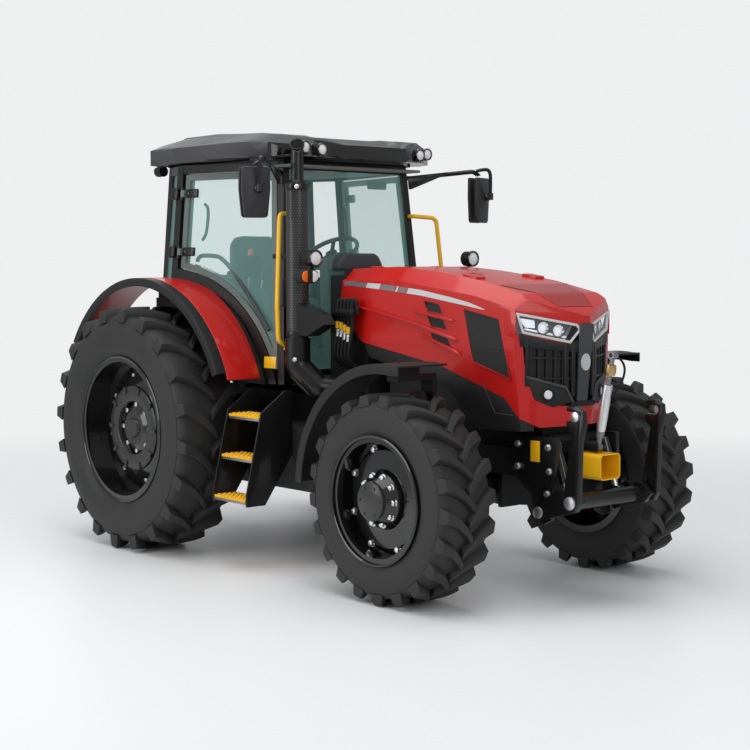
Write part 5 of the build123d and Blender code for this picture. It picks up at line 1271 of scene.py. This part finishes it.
class TRACTOR_OT_cab(bpy.types.Operator):
    """Model the seat, levers, handles and the cab's trim"""
    bl_idname = "tractor.cab"
    bl_label = "Cab"

    def execute(self, context):
        self.seat()
        self.levers()
        self.inside()
        for side, hand in SIDES[::-1]:
            self.door(side, hand)
        self.outside()
        return {"FINISHED"}

    def seat(self):
        half = [(0.12, 0.425), (0.19, 0.41), (0.222, 0.36), (0.232, 0.25), (0.228, 0.1), (0.225, 0)]
        rounded = both_halves(half)
        back = plate([(0, y, z) for y, z in rounded], (0.07, 0, 0), 0.02, 3)
        put(back, Matrix.Translation(spot(-0.092, 0, 1.797)) @ Matrix.Rotation(math.radians(-1), 4, "Y"))
        swell(back, 0.011, 4, 0.012)
        low = swell(block(spot(0.205, 0, 1.69), (0.505, 0.455, 0.112), 0.035, 4), 0.011, 4, 0.012)
        lumbar = swell(block(spot(-0.008, 0, 1.94), (0.03, 0.3, 0.2), 0.013, 3), 0.01, 3, 0.008)
        for name, pad, replaces in (("seat_pad", low, ("seat_cushions",)), ("backrest_pad", back, ()),
                ("lumbar_pad", lumbar, ())):
            modify(pad, "SUBSURF", levels=1)
            fit(name, "seat_cloth", pad, smooth=60, replaces=replaces)
        fit("seat_seams", "grip_rubber", *(bent_bar([spot(x, side * y, 1.742) for x,
            y in ((-0.03, 0.13), (0.12, 0.125), (0.3, 0.13), (0.44, 0.14))], 0.004, 3, 8) for side in (1, -1)),
            slot="seat_cloth")
        arms = []
        for side in (1, -1):
            arms += [block(spot(0.16, side * 0.282, 1.925), (0.32, 0.062, 0.058), 0.02, 4),
                rod(spot(-0.02, side * 0.262, 1.8), spot(0.04, side * 0.275, 1.92), 0.018)]
        fit("seat_arms", "grip_rubber", *arms)

    def levers(self):
        fit("lever_knob", "orange_knob", turned([(0, 0), (0, 0.012), (0.03, 0.016), (0.07, 0.022), (0.1, 0.02),
            (0.112, 0)], spot(0.415, -0.4, 2.005), (0.2, 0, 1), 24))
        fit("lever_stems", "bright_steel", rod(spot(0.39, -0.4, 1.78), spot(0.415, -0.4, 2.01), 0.008),
            rod(spot(0.5, -0.365, 1.8), spot(0.52, -0.365, 1.93), 0.006),
            rod(spot(0.55, -0.405, 1.78), spot(0.57, -0.405, 1.9), 0.006))
        grips = [turned([(0, 0), (0, 0.01), (0.03, 0.015), (0.055, 0.012), (0.06, 0)], place, (0.1, 0, 1), 20)
            for place in (spot(0.52, -0.365, 1.92), spot(0.57, -0.405, 1.89))]
        pad = block(spot(0.205, -0.44, 1.9), (0.3, 0.09, 0.055), 0.022, 4)
        prop = block(spot(0.205, -0.44, 1.835), (0.12, 0.05, 0.1), 0.01)
        panel = block(spot(0.5, -0.455, 1.99), (0.03, 0.2, 0.15), 0.01, 3, turn=("Y", -18))
        stalk = rod(spot(0.51, -0.44, 1.79), spot(0.505, -0.45, 1.92), 0.014)
        fit("console_armrest", "cab_grey", pad, prop, stalk, *grips)
        fit("console_screen", "grip_rubber", panel)

    def inside(self):
        half = [(0.13, 2.078), (0.165, 2.06), (0.196, 2.01), (0.205, 1.96)]
        hump = both_halves(half)
        fit("dash_hood", "cab_grey", plate([spot(1.04, y, z) for y, z in hump], (0.13, 0, 0), 0.022, 4))
        fit("dash_dials", "grip_rubber", *(turned([(0, 0), (0, 0.045), (0.006, 0.047), (0.008, 0.042),
            (0.004, 0)], spot(1.038, side * 0.085, 2.02), (-1, 0, 0), 32) for side in (1, -1)))
        fit("column_shroud", "cab_grey", block(spot(0.985, 0, 1.86), (0.13, 0.16, 0.2), 0.03, 4))
        fit("pedals", "grip_rubber", *(block(spot(0.93, y, 1.37), (0.02, 0.075, 0.11), 0.008, turn=("Y", -30))
            for y in (-0.26, -0.16, 0.22)))
        fit("roof_lining", "lining", block(spot(0.5, 0, 2.662), (1.26, 1.18, 0.02), 0.008))
        fit("inside_mirror", "cab_grey", block(spot(0.985, 0.3, 2.56), (0.024, 0.17, 0.058), 0.01, 3))

    def door(self, side, hand):
        """A door's bar, grab handle and latch inside, and its hinges' covers and bolts outside."""
        def inner(*places):
            return [spot(x, hand * out, z) for x, z, out in places]

        bar = bent_bar(inner((0.155, 2.02, 0.668), (0.155, 2.062, 0.664), (0.3, 2.066, 0.664),
            (0.472, 2.05, 0.664), (0.797, 1.774, 0.672), (1, 1.56, 0.672)), 0.015, 3)
        grab = bent_bar(inner((0.205, 2.425, 0.635), (0.235, 2.415, 0.63), (0.245, 2.33, 0.635),
            (0.238, 2.2, 0.65), (0.2, 2.175, 0.655)), 0.011, 3)
        latch = block(spot(1.115, hand * 0.655, 1.815), (0.075, 0.05, 0.19), 0.016, 3)
        body = f"door_{side}"
        fit(f"door_bars_{side}", "cab_grey", bar, grab, latch, body=body)
        brackets, bolts = [], []
        for z in HINGE_HEIGHTS:
            stand = seated(spot(0.185, hand * 1.3, z), (0, -hand, 0))
            brackets.append(put(block((0, 0, 0.01), (0.115, 0.062, 0.022), 0.009, 3), stand))
            for along_arm in (-0.032, 0.032):
                head = turned([(0, 0), (0, 0.012), (0.005, 0.011), (0.007, 0)], (along_arm, 0, 0.02), UP, 16)
                bolts.append(put(head, stand))
        fit(f"hinge_covers_{side}", "black_paint", *brackets, body=body)
        fit(f"hinge_bolts_{side}", "rim_black", *bolts, body=body)

    def outside(self):
        def on_side(shape, place):
            return put(shape, seated(spot(*place), (0, 1, 0)))

        fit_pair("hinge_blocks", "black_paint", *(on_side(block((0, 0, 0.014), (0.062, 0.085, 0.032), 0.01, 3),
            (0.04, -1.3, z)) for z in HINGE_HEIGHTS))
        fit("bare_plates", "yellow_paint", *(on_side(block((0, 0, 0.0015), (*size, 0.003), 0.0012), place)
            for place, size in (((3.085, -0.6, 0.9), (0.075, 0.125)), ((1.005, -1.3, 1.343), (0.105, 0.078)),
            ((1.235, -1.3, 0.86), (0.085, 0.14)))))


class TRACTOR_OT_linkage(bpy.types.Operator):
    """Model the front linkage's bolts and pins and the top link's fittings"""
    bl_idname = "tractor.linkage"
    bl_label = "Linkage"

    def execute(self, context):
        fit_pair("linkage_bolts", "bright_steel", *(put(bolt(0.017, 0.018),
            pointing(spot(x, -0.2805, z), (0, -1, 0))) for x, z in ((2.945, 0.935), (2.945, 0.8), (3.19, 0.93),
            (3.2, 0.79), (3.185, 0.655))), smooth=20)
        fit_pair("lift_pins", "bright_steel", pin(spot(3.15, -0.322, 0.545), 0.036), body="front_lift")
        fit_pair("hook_pins", "bright_steel", pin(spot(3.44, -0.368, 0.637), 0.04),
            pin(spot(3.478, -0.368, 1.137), 0.03), body="front_hooks")
        lean = math.radians(11.1)
        way = Vector((math.sin(lean), 0, math.cos(lean)))
        root = spot(3.328, 0, 0.925)
        fit("top_link_sleeve", "bright_steel", turned([(0.1, 0.02), (0.1, 0.026), (0.12, 0.028), (0.36, 0.028),
            (0.38, 0.026), (0.38, 0.02)], root, way, 32), body="top_link")
        fit("top_link_tip", "brass", turned([(0.44, 0), (0.44, 0.03), (0.46, 0.034), (0.5, 0.03), (0.51, 0)],
            root, way, 24), body="top_link")
        fit("top_link_handle", "grip_rubber", bent_bar([root + way * 0.3 + Vector(step)
            for step in ((0.026, 0.012, 0), (0.06, 0.05, 0.06), (0.075, 0.09, 0.17), (0.06, 0.05, 0.24),
            (0.035, 0.015, 0.26))], 0.007, 3), body="top_link")
        return {"FINISHED"}


# ------------------------------------------------------------------ panel, registration and main
STEPS = (TRACTOR_OT_finishes, TRACTOR_OT_stage, TRACTOR_OT_tyres, TRACTOR_OT_wheels, TRACTOR_OT_hood,
    TRACTOR_OT_nose, TRACTOR_OT_panels, TRACTOR_OT_fittings, TRACTOR_OT_cab, TRACTOR_OT_linkage)


class VIEW3D_PT_tractor(bpy.types.Panel):
    """The tractor's settings and steps"""
    bl_label = "Farm tractor"
    bl_idname = "VIEW3D_PT_tractor"
    bl_space_type = "VIEW_3D"
    bl_region_type = "UI"
    bl_category = "Tractor"

    def draw(self, context):
        for group in ("tractor_paint", "tractor_tyres", "tractor_trim"):
            for setting in settings(group).bl_rna.properties.keys():
                if setting not in ("rna_type", "name"):
                    self.layout.prop(settings(group), setting)
        for step in STEPS:
            self.layout.operator(step.bl_idname)


CLASSES = (PaintSettings, TyreSettings, TrimSettings, *STEPS, VIEW3D_PT_tractor)


def register():
    for item in CLASSES:
        bpy.utils.register_class(item)
    bpy.types.Scene.tractor_paint = bpy.props.PointerProperty(type=PaintSettings)
    bpy.types.Scene.tractor_tyres = bpy.props.PointerProperty(type=TyreSettings)
    bpy.types.Scene.tractor_trim = bpy.props.PointerProperty(type=TrimSettings)


def unregister():
    for name in ("tractor_trim", "tractor_tyres", "tractor_paint"):
        delattr(bpy.types.Scene, name)
    for item in reversed(CLASSES):
        bpy.utils.unregister_class(item)


def main():
    register()
    for step in STEPS:
        family, name = step.bl_idname.split(".")
        getattr(getattr(bpy.ops, family), name)()
    bpy.context.view_layer.update()


if __name__ == "__main__":
    main()
